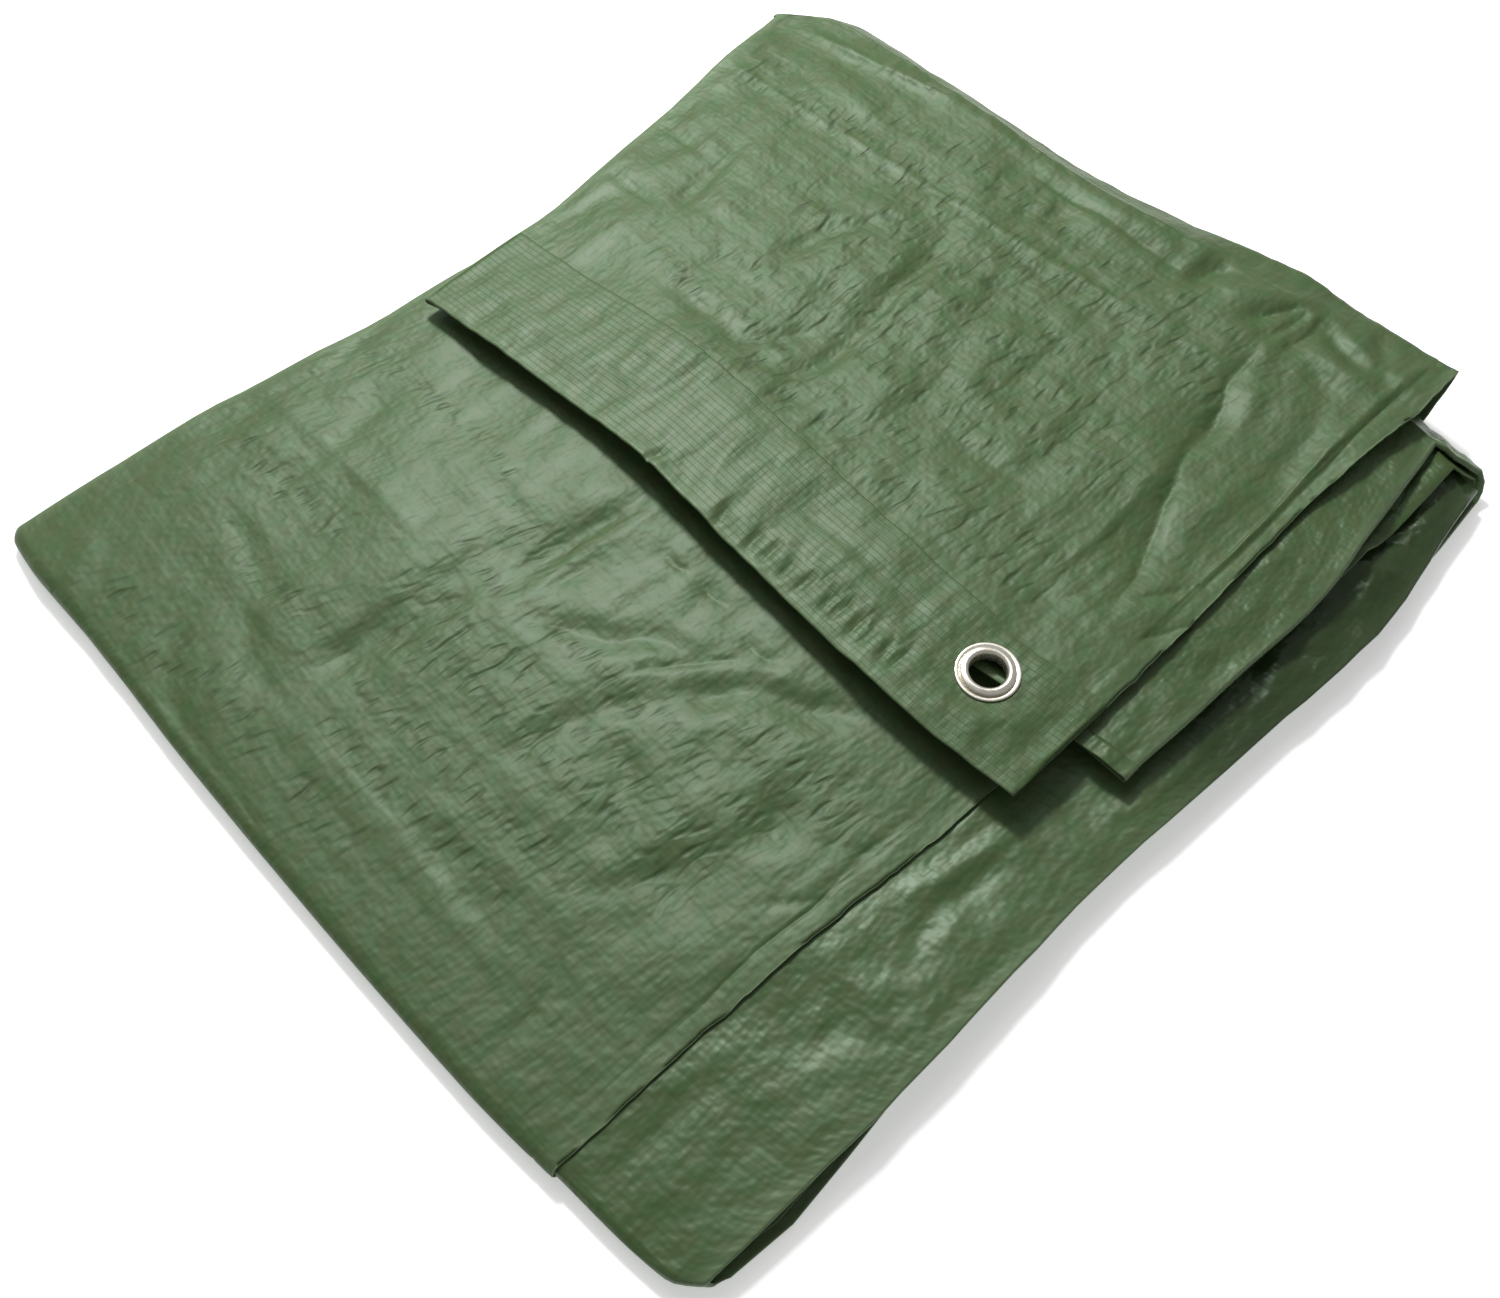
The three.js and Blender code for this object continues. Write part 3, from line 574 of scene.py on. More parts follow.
def dressPoints(x, y, z):
    # moves the pile's points up and down by its creases, less towards the surface it lies on
    crumple = np.zeros(len(x))
    for wave in sideCrumple["waves"]:
        turn = wave["turn"]
        crumple += waves(wave, x + turn * y, y - turn * x)
    growth = sideCrumple["least"] + sum(smoothstep(y, start, end) for start, end in sideCrumple["growth"])
    inner = panelHeights(x, y, innerPanel) + smoothstep(x, *sideCrumple["side"]) * crumple * growth
    flap = panelHeights(x, y, flapPanel)
    innerWeight = np.clip(z / cloth["flapFoot"], 0, 1) ** dressing["fade"]
    flapWeight = smoothstep(z - cloth["flapFoot"], *dressing["flap"])
    edge = smoothstep(y, *dressing["edge"])
    return z + innerWeight * (1 - flapWeight) * inner * edge + flapWeight * flap


# How the outermost ply's free edge settles on to the ply below, on the inner panel and on the flap, and
# how it wavers: the hem is crinkled across and stands up a little, close to the edge only
freeEdge = {
    "innerSink": 0.85, "innerReach": 38.0, "flapSink": 0.3, "flapReach": 26.0, "sunkUntil": 0.1,
    "weldDip": 0.2, "weldWidth": 0.7, "pleatClearance": 40.0, "waverReach": 7.0, "raise": 0.16,
    "sideways": [
        {"across": 9, "along": 40, "height": 0.55, "seed": 23.1},
        {"across": 3.6, "along": 40, "height": 0.3, "seed": 29.7},
    ],
    "upwards": {"across": 6.5, "along": 12, "height": 0.35, "seed": 31.9},
}
# The hidden second ply gives way under the top one's creases, but not beside its pleats and folds
secondPly = {"sink": 0.9, "left": (6, 45), "right": (50, 85), "nearFold": (-12, 0), "flap": (0, 15)}
pileSway = {"across": 26, "along": 9, "height": 0.6, "seed": 4.4}


def settle(u, onFlap):
    reach = np.where(onFlap, freeEdge["flapReach"], freeEdge["innerReach"])
    amount = np.where(onFlap, freeEdge["flapSink"], freeEdge["innerSink"])
    sink = amount * (1 - smoothstep(u / reach, freeEdge["sunkUntil"], 1))
    weld = freeEdge["weldDip"] * np.exp(-((u - cloth["sideHem"]) / freeEdge["weldWidth"]) ** 2)
    return np.where(u < pleatStart - freeEdge["pleatClearance"], sink + weld, 0)


def secondPlySink(u, v):
    hidden = smoothstep(u - pleatStart, *secondPly["left"])
    hidden = hidden * smoothstep(rightPleatStart - u, *secondPly["right"])
    folded = smoothstep(v - stretchStart["nearFold"], *secondPly["nearFold"])
    unfolded = smoothstep(v - stretchStart["flap"], *secondPly["flap"])
    return secondPly["sink"] * hidden * (1 - folded + unfolded)


def foldCloth(u, v):
    # from the flat cloth to the finished pile: folded, creased, pressed down and a little wavy
    laid = foldAcross(u, v, settle(u, v > stretchStart["farFold"]))
    x, y, z = foldAlong(laid)
    x, y, z = pressDown(x, y, dressPoints(x, y, z) - secondPlySink(u, v), laid["stretch"])
    atEdge = np.exp(-np.maximum(u, 0) / freeEdge["waverReach"])
    atEdge = atEdge * (u < pleatStart - freeEdge["pleatClearance"])
    sway = waves(pileSway, y, z) + atEdge * sum(waves(kind, v, u) for kind in freeEdge["sideways"])
    z = z + atEdge * (waves(freeEdge["upwards"], v, u) + freeEdge["raise"])
    return x + sway, y, np.maximum(z, cloth["thickness"] / 2), laid["stretch"]


def evenSteps(start, end, step):
    count = max(1, round((end - start) / step))
    return list(np.linspace(start, end, count + 1)[:-1])


def gridFrom(across, down):
    # a flat grid whose columns and rows stand at the places given
    bm = bmesh.new()
    bmesh.ops.create_grid(bm, x_segments=len(across) - 1, y_segments=len(down) - 1, size=1)
    places = np.array([v.co.xy for v in bm.verts])
    columns = np.rint((places[:, 0] + 1) / 2 * (len(across) - 1)).astype(int)
    rows = np.rint((places[:, 1] + 1) / 2 * (len(down) - 1)).astype(int)
    for vert, column, row in zip(bm.verts, columns, rows):
        vert.co = (across[column], down[row], 0)
    return bm


def flatPlaces(bm):
    return np.array([v.co[:] for v in bm.verts])


def refine(bm, wanted):
    # splits each edge whose middle is wanted
    bm.verts.index_update()
    flat = flatPlaces(bm)
    ends = np.array([(e.verts[0].index, e.verts[1].index) for e in bm.edges])
    middle = (flat[ends[:, 0]] + flat[ends[:, 1]]) / 2
    chosen = wanted(middle[:, 0], middle[:, 1])
    edges = [e for e, yes in zip(bm.edges, chosen) if yes]
    bmesh.ops.subdivide_edges(bm, edges=edges, cuts=1, use_grid_fill=True)


# Steps of the flat cloth's grid, and how wide its finer bands are beside the pleats
layout = {
    "shown": 10.3, "hidden": 24.0, "strip": 60.0, "ledge": 36.0, "tongue": 2.0, "weldStep": 1.6,
    "pleatParts": 6, "pleatSide": 12.0, "pleatSideStep": 6.0, "nearStep": 2.6, "farStep": 4.2,
    "coarseFrom": 130.0, "coarseTo": 190.0, "fineFrom": 198.0, "foldSide": 12.0, "flapSide": 10.0,
    "frontHem": 6.0, "creaseReach": 1.6, "creaseShare": 0.3,
}
firstTurn = (1, 0.75, 0.5, 0.25)  # shares of the turned-under free edge
otherTurns = (0, 0.33, 0.67, 1)


def acrossPlaces():
    # columns across the flat cloth, close together where the photo shows it
    hem, shown, hidden = cloth["sideHem"], layout["shown"], layout["hidden"]
    weld, strip, ledge, side = layout["weldStep"], layout["strip"], layout["ledge"], layout["pleatSide"]
    columns = [-hemArc - hem] + [-hemArc * part for part in firstTurn] + [0, hem - weld, hem + weld]
    for kind, ply, start, end in spans:
        if kind == "pleat":
            columns += evenSteps(start, end, pleatArc / layout["pleatParts"])
        elif ply == 0:
            columns += evenSteps(hem + weld, end - side, shown)[1:]
            columns += evenSteps(end - side, end, layout["pleatSideStep"])
        elif ply == 1:
            columns += evenSteps(start, end - strip, hidden) + evenSteps(end - strip, end, shown)
        elif ply == 2:
            columns += evenSteps(start, start + ledge, shown) + evenSteps(start + ledge, end, hidden)
        else:
            columns += evenSteps(start, end - ledge, hidden) + evenSteps(end - ledge, end, shown)
    return columns + [flatWidth + hemArc * part for part in otherTurns] + [flatWidth + hemArc + hem]


def alongPlaces():
    # rows along it, from the hidden end of the inner panel to the flap's front edge
    shown, hidden, tongue = layout["shown"], layout["hidden"], layout["tongue"]
    rows = []
    for (name, length), end in zip(stretches, stretchEnds):
        start = end - length
        if name == "inner":
            first, second = layout["coarseFrom"], layout["coarseTo"]
            rows += evenSteps(start, first, shown) + evenSteps(first, second, hidden)
            rows += evenSteps(second, end, shown)
        elif name == "nearFold":
            rows += evenSteps(start, end, layout["nearStep"])
        elif name == "base":
            rows += evenSteps(start, end, hidden)
        elif name == "farFold":
            for first, second in zip(farFoldSection["share"], farFoldSection["share"][1:]):
                rows += evenSteps(start + length * first, start + length * second, layout["farStep"])
        elif name == "flap":
            rows += evenSteps(start, end, shown)
        else:
            rows += [start, start + tongue] + evenSteps(start + tongue, end, shown)[1:]
    turned = [flatLength + hemArc * part for part in otherTurns]
    return rows + turned + [flatLength + hemArc + layout["frontHem"]]


def isShown(u, v):
    # where the photo shows the cloth: both panels, and the second ply's margin past their free edge
    farFold = stretchStart["farFold"]
    panelShows = (u < pleatStart) & (v > layout["fineFrom"]) & (v < stretchStart["base"])
    flapShows = (u < pleatStart) & (v > farFold + layout["flapSide"])
    belowPanel = (u > rightPleatStart - layout["strip"]) & (v < stretchStart["nearFold"] + layout["foldSide"])
    belowFlap = (u > rightPleatStart - layout["ledge"]) & (v > farFold)
    return panelShows | flapShows | (belowPanel | belowFlap) & (u < rightPleatStart)


def nearCreases(u, v):
    # where a sharp crease of the point's own panel passes
    x, y, z, stretch = foldCloth(u, v)
    close = np.zeros(len(u), bool)
    for panel, onPanel in ((innerPanel, stretch < baseStretch), (flapPanel, stretch > baseStretch)):
        here = onPanel & isShown(u, v)
        for crease in panel["creases"]:
            if here.any() and crease["sharp"]:
                line = soft(layout["creaseReach"], 1.0, crease["path"])
                close[here] |= creaseField(x[here], y[here], [line]) > layout["creaseShare"]
    return close


def newPiece(name, bm):
    mesh = bpy.data.meshes.new(name)
    bm.to_mesh(mesh)
    bm.free()
    piece = bpy.data.objects.new(name, mesh)
    bpy.context.collection.objects.link(piece)
    return piece


def finishMesh(name, bm, place, thickness, attributes):
    # one flat grid becomes a piece: a UV map of its flat size, its folded place, and a thickness
    uvLayer = bm.loops.layers.uv.new("flat")
    for face in bm.faces:
        face.smooth = True
        for loop in face.loops:
            loop[uvLayer].uv = (loop.vert.co.x * metresPerMm, loop.vert.co.y * metresPerMm)
    piece = newPiece(name, bm)
    mesh = piece.data
    mesh.vertices.foreach_set("co", ((place + drawingOrigin) * metresPerMm).astype(np.float32).ravel())
    for key, values in attributes.items():
        layer = mesh.attributes.new(key, "FLOAT", "POINT")
        layer.data.foreach_set("value", values.astype(np.float32))
    mesh.update()
    solid = piece.modifiers.new("thickness", "SOLIDIFY")
    solid.thickness = thickness * metresPerMm
    solid.offset = 0
    solid.use_even_offset = False
    return piece


# What the material reads from the cloth: its right side and pleats are polished, and the same mask paints
# shade where it is highest, on the shadowed back of the right side; its edges are rubbed and carry a painted
# highlight
finish = {
    "side": (128.0, 150.0), "frontGlossAndShade": -0.15, "backGlossAndShade": 1.5, "back": (-10.0, 70.0),
    "cornerGlossAndShade": 0.6, "corner": (70.0, 130.0), "pleatGlossAndShade": 0.8, "pleat": (-30.0, 60.0),
    "glossAndShadeLimits": (-0.2, 2.0), "wearAndHighlightWidth": 2.2, "calm": 0.7, "calmSide": (128.0, 145.0),
}


def makeCloth():
    bm = gridFrom(acrossPlaces(), alongPlaces())
    # the hem strip is a piece of its own, so the outermost ply stops a tongue's length past the weld line
    notch = [
        f for f in bm.faces
        if f.calc_center_median().x < pleatStart - layout["pleatSide"]
        and f.calc_center_median().y > stretchStart["hem"] + layout["tongue"]
    ]
    bmesh.ops.delete(bm, geom=notch, context="FACES")
    refine(bm, isShown)
    refine(bm, isShown)
    refine(bm, nearCreases)
    flat = flatPlaces(bm)
    u, v = flat[:, 0], flat[:, 1]
    x, y, z, stretch = foldCloth(u, v)
    above = stretch < baseStretch
    # the polish mask lowers roughness, and where it is highest it also paints shade into the colour
    glossAndShade = finish["backGlossAndShade"] * smoothstep(y, *finish["back"])
    glossAndShade = glossAndShade + finish["cornerGlossAndShade"] * smoothstep(y, *finish["corner"]) + finish["frontGlossAndShade"]
    glossAndShade = glossAndShade * smoothstep(x, *finish["side"]) * above
    glossAndShade = glossAndShade + finish["pleatGlossAndShade"] * smoothstep(u - pleatStart, *finish["pleat"])
    glossAndShade = np.clip(glossAndShade, *finish["glossAndShadeLimits"])
    # paler towards the free edge and the pleats: rubbed wear, and a painted highlight along the folded edges
    fromEdge = np.min(np.abs(u[:, None] - np.array([[0, pleatStart, rightPleatStart]])), axis=1)
    rows = np.where(stretch > baseStretch, puckerField(x, y, flapPanel), puckerField(x, y, innerPanel))
    rows = rows * (1 - finish["calm"] * smoothstep(x, *finish["calmSide"]) * above)
    attributes = {"glossAndShade": glossAndShade, "wearAndHighlight": np.exp(-fromEdge / finish["wearAndHighlightWidth"]), "puckers": rows}
    return finishMesh("tarpCloth", bm, np.column_stack([x, y, z]), cloth["thickness"], attributes)


print("folding the cloth")
tarpCloth = makeCloth()
print("cloth vertices", len(tarpCloth.data.vertices), "faces", len(tarpCloth.data.polygons))

# The wide end hem: the cloth turned under along the front edge and welded down along the hem line
strip = {
    "top": 7.72, "depth": 0.9, "thickness": 0.42, "cell": 1.6, "hiddenCell": 5.0, "lap": 0.8, "leftEnd": 0.6,
    "middle": 7.3, "weldDip": 1.0, "weldWidth": 1.5, "weldLeast": 0.25, "weldGrows": (88.0, 108.0),
    "wearAndHighlightReach": 60.0, "wearAndHighlightWidth": 2.0, "puckered": 0.6, "weldDepth": 0.1, "wearAndHighlightDepth": 0.5,
}
eyelet = {
    "x": 113.5, "behindEdge": 29.5, "bore": 6.3, "barrelWall": 0.5, "rim": 9.3, "washer": 11.0,
    "holeRadius": 7.0, "flatReach": 11.5, "blendReach": 20.0, "top": 2.7, "steps": 96,
}


def onStrip(x, level, behind):
    # points of the hem strip at a place across it, a level, and a distance behind its front edge
    share = 1 - behind / cloth["endHem"]
    return foldAlong({
        "x": x, "level": level, "outer": np.ones(len(x)), "share": share, "endIn": np.zeros(len(x)),
        "stretch": np.full(len(x), hemStretch), "front": along(frontEdgeLine, "x", "y", x),
    })


def stripPoints(u, run):
    # run goes from the weld line to the front edge on top, and back again underneath
    bend = strip["depth"] / 2
    arc = math.pi * bend
    reach = cloth["endHem"] - bend
    turn = np.clip((run - reach) / arc, 0, 1) * math.pi
    past = np.maximum(run - reach - arc, 0)
    behind = np.where(run <= reach, cloth["endHem"] - run, bend * (1 - np.sin(turn)) + past)
    drop = bend * (1 - np.cos(turn))
    stretch = np.full(len(u), hemStretch)
    lines = linesAt(stretch, np.clip(1 - behind / cloth["endHem"], 0, 1))
    inward, _ = turnUnder(np.maximum(-u, 0))
    part = np.clip(u / cloth["plyWidths"][0], 0, 1)
    x = lerp(lines[:, 0], lines[:, 1] + pleatBend, part) - np.where(u < 0, inward, 0)
    return onStrip(x, strip["top"] - drop - settle(u, u > -np.inf), behind), behind, drop


def eyeletSeat():
    # the middle of the hem strip at the eyelet, and which way the eyelet's axis points
    reach = eyelet["rim"]
    acrossPlace = eyelet["x"] + np.array([0, -reach, reach, 0, 0])
    behind = eyelet["behindEdge"] + np.array([0, 0, 0, -reach, reach])
    x, y, z = onStrip(acrossPlace, np.full(5, strip["middle"]), behind)
    x, y, z = pressDown(x, y, z, np.full(5, hemStretch))
    points = np.column_stack([x, y, z])
    axis = np.cross(points[2] - points[1], points[4] - points[3])
    return points[0], axis / np.linalg.norm(axis)


def makeHemStrip(seat, axis):
    bend = strip["depth"] / 2
    arc = math.pi * bend
    reach = cloth["endHem"] - bend
    width = pleatStart - strip["leftEnd"]
    across = [-hemArc, -hemArc * 0.5, 0] + evenSteps(0, width, strip["cell"])[1:] + [width]
    rows = [-strip["lap"]] + evenSteps(0, reach, strip["cell"])
    rows += [reach + arc * part for part in (0, 0.25, 0.5, 0.75)]
    rows += evenSteps(reach + arc, 2 * reach + arc, strip["hiddenCell"]) + [2 * reach + arc]
    bm = gridFrom(across, rows)
    flat = flatPlaces(bm)
    u, run = flat[:, 0], flat[:, 1]
    (x, y, z), behind, drop = stripPoints(u, run)
    # the weld line is pressed in near the eyelet's corner and fades away from it
    dip = strip["weldDip"] * lerp(strip["weldLeast"], 1, smoothstep(x, *strip["weldGrows"]))
    atWeld = np.exp(-((behind - cloth["endHem"]) / strip["weldWidth"]) ** 2) * (drop < strip["weldDepth"])
    z = dressPoints(x, y, z) - dip * atWeld
    x, y, z = pressDown(x, y, z, np.full(len(x), hemStretch))
    fromSeat = np.column_stack([x, y, z]) - seat
    lift = fromSeat @ axis
    around = np.linalg.norm(fromSeat - lift[:, None] * axis, axis=1)
    nearSeat = 1 - smoothstep(around, eyelet["flatReach"], eyelet["blendReach"])
    flatLift = strip["top"] - strip["middle"] - drop
    place = np.column_stack([x, y, z]) + (nearSeat * (flatLift - lift))[:, None] * axis
    bm.verts.index_update()
    hole = {f for f in bm.faces if np.mean([around[v.index] for v in f.verts]) < eyelet["holeRadius"]}
    inside = {v.index for v in bm.verts if all(f in hole for f in v.link_faces)}
    for index in {v.index for f in hole for v in f.verts} - inside:
        offset = place[index] - seat
        rise = offset @ axis
        outward = offset - rise * axis
        place[index] = seat + rise * axis + outward / np.linalg.norm(outward) * eyelet["holeRadius"]
    keep = np.ones(len(bm.verts), bool)
    keep[list(inside)] = False
    bmesh.ops.delete(bm, geom=list(hole), context="FACES")
    # paler along the strip's folded front edge, on top only: rubbed wear, and a painted highlight
    wearAndHighlight = np.exp(-np.minimum(behind, strip["wearAndHighlightReach"]) / strip["wearAndHighlightWidth"]) * (drop < strip["wearAndHighlightDepth"])
    rows = strip["puckered"] * puckerField(x, y, flapPanel)
    attributes = {"glossAndShade": np.zeros(keep.sum()), "wearAndHighlight": wearAndHighlight[keep], "puckers": rows[keep]}
    return finishMesh("hemStrip", bm, place[keep], strip["thickness"], attributes)


print("folding the hem strip")
seatPoint, seatAxis = eyeletSeat()
hemStrip = makeHemStrip(seatPoint, seatAxis)


def turned(name, profile, point, axis):
    # a ring spun about the eyelet's axis from a closed outline of radius and height pairs
    bm = bmesh.new()
    verts = [bm.verts.new((radius, 0, height)) for radius, height in profile]
    edges = [bm.edges.new((verts[i], verts[(i + 1) % len(verts)])) for i in range(len(verts))]
    bmesh.ops.spin(
        bm, geom=verts + edges, cent=(0, 0, 0), axis=(0, 0, 1), angle=2 * math.pi, steps=eyelet["steps"],
        use_merge=True,
    )
    bmesh.ops.remove_doubles(bm, verts=bm.verts, dist=1e-5)
    bmesh.ops.recalc_face_normals(bm, faces=bm.faces)
    for face in bm.faces:
        face.smooth = True
    turn = Vector((0, 0, 1)).rotation_difference(Vector(axis)).to_matrix().to_4x4()
    bm.transform(Matrix.Scale(metresPerMm, 4) @ Matrix.Translation(Vector(point + drawingOrigin)) @ turn)
    return newPiece(name, bm)


def arcPoints(centre, radius, start, end, steps):
    angles = [math.radians(start + (end - start) * k / steps) for k in range(steps + 1)]
    return [(centre[0] + radius * math.cos(a), centre[1] + radius * math.sin(a)) for a in angles]


def makeEyelet(point, axis):
    bore, rim, top = eyelet["bore"], eyelet["rim"], eyelet["top"]
    barrel = bore + eyelet["barrelWall"]
    # foot under the cloth, barrel, and a rolled rim: a low dome that curls down on to the washer
    outline = [(bore, -1.9), (bore + 0.3, -2.15), (rim + 0.6, -2.15), (rim + 0.9, -1.9), (rim + 0.6, -1.65)]
    outline += [(barrel, -1.65), (barrel, 1.5), (rim - 0.4, 1.5)]
    outline += arcPoints((rim - 0.5, 1.95), 0.45, -70, 62, 6)
    outline += arcPoints((bore + 1.3, top - 1.3), 1.3, 76, 180, 9)
    return turned("eyeletBarrel", outline, point, axis)


def makeWasher(point, axis):
    # flat ring with a shallow groove beside the rim and a rolled-down outer edge
    inner, rim, edge = eyelet["holeRadius"] - 0.1, eyelet["rim"], eyelet["washer"]
    outline = [(inner, 0.62), (edge - 0.15, 0.62)]
    outline += arcPoints((edge - 0.4, 1.0), 0.4, -60, 84, 6)
    outline += [(rim + 0.55, 1.36), (rim + 0.2, 1.18), (rim - 0.2, 1.15), (rim - 0.7, 1.32), (inner, 1.32)]
    return turned("eyeletWasher", outline, point, axis)


print("turning the eyelet and its washer")
eyeletBarrel = makeEyelet(seatPoint, seatAxis)
eyeletWasher = makeWasher(seatPoint, seatAxis)


def linearColour(hexCode):
    values = [int(hexCode[i:i + 2], 16) / 255 for i in (1, 3, 5)]
    return tuple(c / 12.92 if c <= 0.04045 else ((c + 0.055) / 1.055) ** 2.4 for c in values) + (1.0,)


def addNode(tree, kind, settings=None, inputs=None):
    # adds a node with its settings, and its inputs as fixed values or links
    node = tree.nodes.new(kind)
    for key, value in (settings or {}).items():
        setattr(node, key, value)
    for key, value in (inputs or {}).items():
        if isinstance(value, bpy.types.NodeSocket):
            tree.links.new(value, node.inputs[key])
        else:
            node.inputs[key].default_value = value
    return node


def mathNode(tree, operation, *values):
    node = addNode(tree, "ShaderNodeMath", {"operation": operation}, dict(enumerate(values)))
    return node.outputs[0]


def spread(tree, value, low, high, most=1.0, curve="LINEAR"):
    # nothing up to the low value, and the most from the high one on
    node = addNode(tree, "ShaderNodeMapRange", {"interpolation_type": curve}, {
        "Value": value, "From Min": low, "From Max": high, "To Max": most,
    })
    return node.outputs["Result"]


def mixed(tree, share, first, second):
    node = addNode(tree, "ShaderNodeMix", {"data_type": "RGBA"}, {0: share, 6: first, 7: second})
    return node.outputs[2]


def newMaterial(name):
    material = bpy.data.materials.new(name)
    material.use_nodes = True
    material.node_tree.nodes.clear()
    return material, material.node_tree


def addSurface(tree, inputs):
    shader = addNode(tree, "ShaderNodeBsdfPrincipled", inputs=inputs)
    addNode(tree, "ShaderNodeOutputMaterial", inputs={"Surface": shader.outputs["BSDF"]})


# Woven polyethylene tape with a thin coat of the same plastic melted over it: waxy green, with a soft pale
# sheen that breaks up over every crinkle, and a few glints where the coat is creased
# The dark green below is painted shade: it darkens the pucker strokes, as shade in creases, and the shadowed
# back of the right side
polyCloth = {
    "green": "#415a33", "olive": "#485733", "wornAndHighlit": "#6f8262", "paintedShade": "#222d18", "sheen": "#e6fde6",
    "roughness": 0.54, "polished": 0.4, "coat": 0.03, "coatRoughness": 0.25, "ior": 1.52,
    "drift": (0.36, 0.64), "rubbedAndHighlit": 0.5, "strokeShade": 0.4, "sideShade": (0.7, 1.5, 0.7),
}
# Its unevenness, each kind's size across and along the cloth in millimetres, its turn and its height
polyNoises = {
    "ripplesAcross": {"size": (3.6, 13.0), "turn": -6, "detail": 1.0, "height": 0.27},
    "ripplesAlong": {"size": (12.0, 3.6), "turn": -2, "detail": 1.0, "height": 0.24},
    "dents": {"size": (7.0, 10.0), "turn": 10, "detail": 2.0, "height": 0.55},
    "strokes": {"size": (2.9, 8.5), "turn": -6, "detail": 0.0, "height": 0.0},
    "tint": {"size": (6.5, 8.5), "turn": 15, "detail": 3.0, "height": 0.0},
}
polyWeave = {
    "tape": 2.4, "height": 0.016, "tapeEdge": 0.35, "gridHeight": 0.07, "gridAcross": 0.4,
    "pinched": (0.46, 0.92), "strokeDepth": 0.42, "noiseRoughness": 0.55,
}


def wovenPolyethylene(name, gridShows):
    material, tree = newMaterial(name)
    flat = addNode(tree, "ShaderNodeUVMap", {"uv_map": "flat"})
    inMm = addNode(tree, "ShaderNodeVectorMath", {"operation": "SCALE"}, {
        0: flat.outputs["UV"], "Scale": 1 / metresPerMm,
    })
    noises = {}
    for index, (key, kind) in enumerate(polyNoises.items()):
        mapped = addNode(tree, "ShaderNodeMapping", {"vector_type": "TEXTURE"}, {
            "Vector": inMm.outputs["Vector"], "Location": (31.0 * index, 47.0 * index, 0),
            "Rotation": (0, 0, math.radians(kind["turn"])), "Scale": (*kind["size"], 1),
        })
        cloud = addNode(tree, "ShaderNodeTexNoise", {"noise_dimensions": "2D"}, {
            "Vector": mapped.outputs["Vector"], "Scale": 1.0, "Detail": kind["detail"],
            "Roughness": polyWeave["noiseRoughness"],
        })
        noises[key] = cloud.outputs["Fac"]

    # tapes: each rises over its neighbours, and on doubled cloth their edges print through as a fine grid
    parts = addNode(tree, "ShaderNodeSeparateXYZ", inputs={"Vector": inMm.outputs["Vector"]})
    tapes, edges = [], []
    for axisName in ("X", "Y"):
        phase = mathNode(tree, "MULTIPLY", parts.outputs[axisName], math.pi / polyWeave["tape"])
        wave = mathNode(tree, "SINE", phase)
        tapes.append(wave)
        edges.append(mathNode(tree, "ABSOLUTE", wave))
    weave = mathNode(tree, "MULTIPLY", *tapes)
    printAcross, printAlong = [spread(tree, edge, 0, polyWeave["tapeEdge"]) for edge in edges]
    grid = mathNode(tree, "MULTIPLY_ADD", printAcross, polyWeave["gridAcross"], printAlong)

    # strokes: short pinched lines along the tapes, gathered in the cloth's rows of puckers; they dent the
    # surface, and the colour darkens them with painted shade
    pinched = spread(tree, noises["strokes"], *polyWeave["pinched"], curve="SMOOTHSTEP")
    rows = addNode(tree, "ShaderNodeAttribute", {"attribute_name": "puckers"})
    strokes = mathNode(tree, "MULTIPLY", pinched, rows.outputs["Fac"])

    heights = [
        (weave, polyWeave["height"]), (grid, polyWeave["gridHeight"] * gridShows),
        (strokes, -polyWeave["strokeDepth"]),
    ]
    heights += [(noises[key], kind["height"]) for key, kind in polyNoises.items() if kind["height"]]
    total = 0.0
    for source, amount in heights:
        total = mathNode(tree, "MULTIPLY_ADD", source, amount, total)
    bump = addNode(tree, "ShaderNodeBump", inputs={"Strength": 1.0, "Distance": metresPerMm, "Height": total})

    # colour: green and olive in drifts; paler along folded edges, partly rubbed wear and partly painted
    # highlight;
    # darker with painted shade in the strokes and where the cloth is most polished, on the shadowed back of
    # the right side
    wearAndHighlight = addNode(tree, "ShaderNodeAttribute", {"attribute_name": "wearAndHighlight"}).outputs["Fac"]
    glossAndShade = addNode(tree, "ShaderNodeAttribute", {"attribute_name": "glossAndShade"}).outputs["Fac"]
    # painted shade where the polish mask is highest, on the shadowed back of the right side
    shadedSide = spread(tree, glossAndShade, *polyCloth["sideShade"])
    shades = {
        "olive": spread(tree, noises["tint"], *polyCloth["drift"]),
        # paler folded edges: rubbed wear and a painted highlight
        "wornAndHighlit": mathNode(tree, "MULTIPLY", wearAndHighlight, polyCloth["rubbedAndHighlit"]),
        # painted shade over the strokes and over the most polished, shadowed right side
        "paintedShade": mathNode(tree, "MULTIPLY_ADD", strokes, polyCloth["strokeShade"], shadedSide),
    }
    colour = linearColour(polyCloth["green"])
    for shade, share in shades.items():
        colour = mixed(tree, share, colour, linearColour(polyCloth[shade]))

    smoother = polyCloth["polished"] - polyCloth["roughness"]
    roughness = mathNode(tree, "MULTIPLY_ADD", glossAndShade, smoother, polyCloth["roughness"])
    addSurface(tree, {
        "Base Color": colour, "Roughness": roughness, "Normal": bump.outputs["Normal"],
        "IOR": polyCloth["ior"], "Specular Tint": linearColour(polyCloth["sheen"]),
        "Coat Weight": polyCloth["coat"], "Coat Roughness": polyCloth["coatRoughness"],
    })
    return material


# Bright nickel plating on pressed brass: near-white where it faces the light, dark and warm in the barrel
nickel = {
    "bright": "#f7f6f2", "warm": "#e6ddc4", "metallic": 0.8, "grain": 900.0, "bump": 0.00002,
    "roughness": (0.2, 0.34),
}


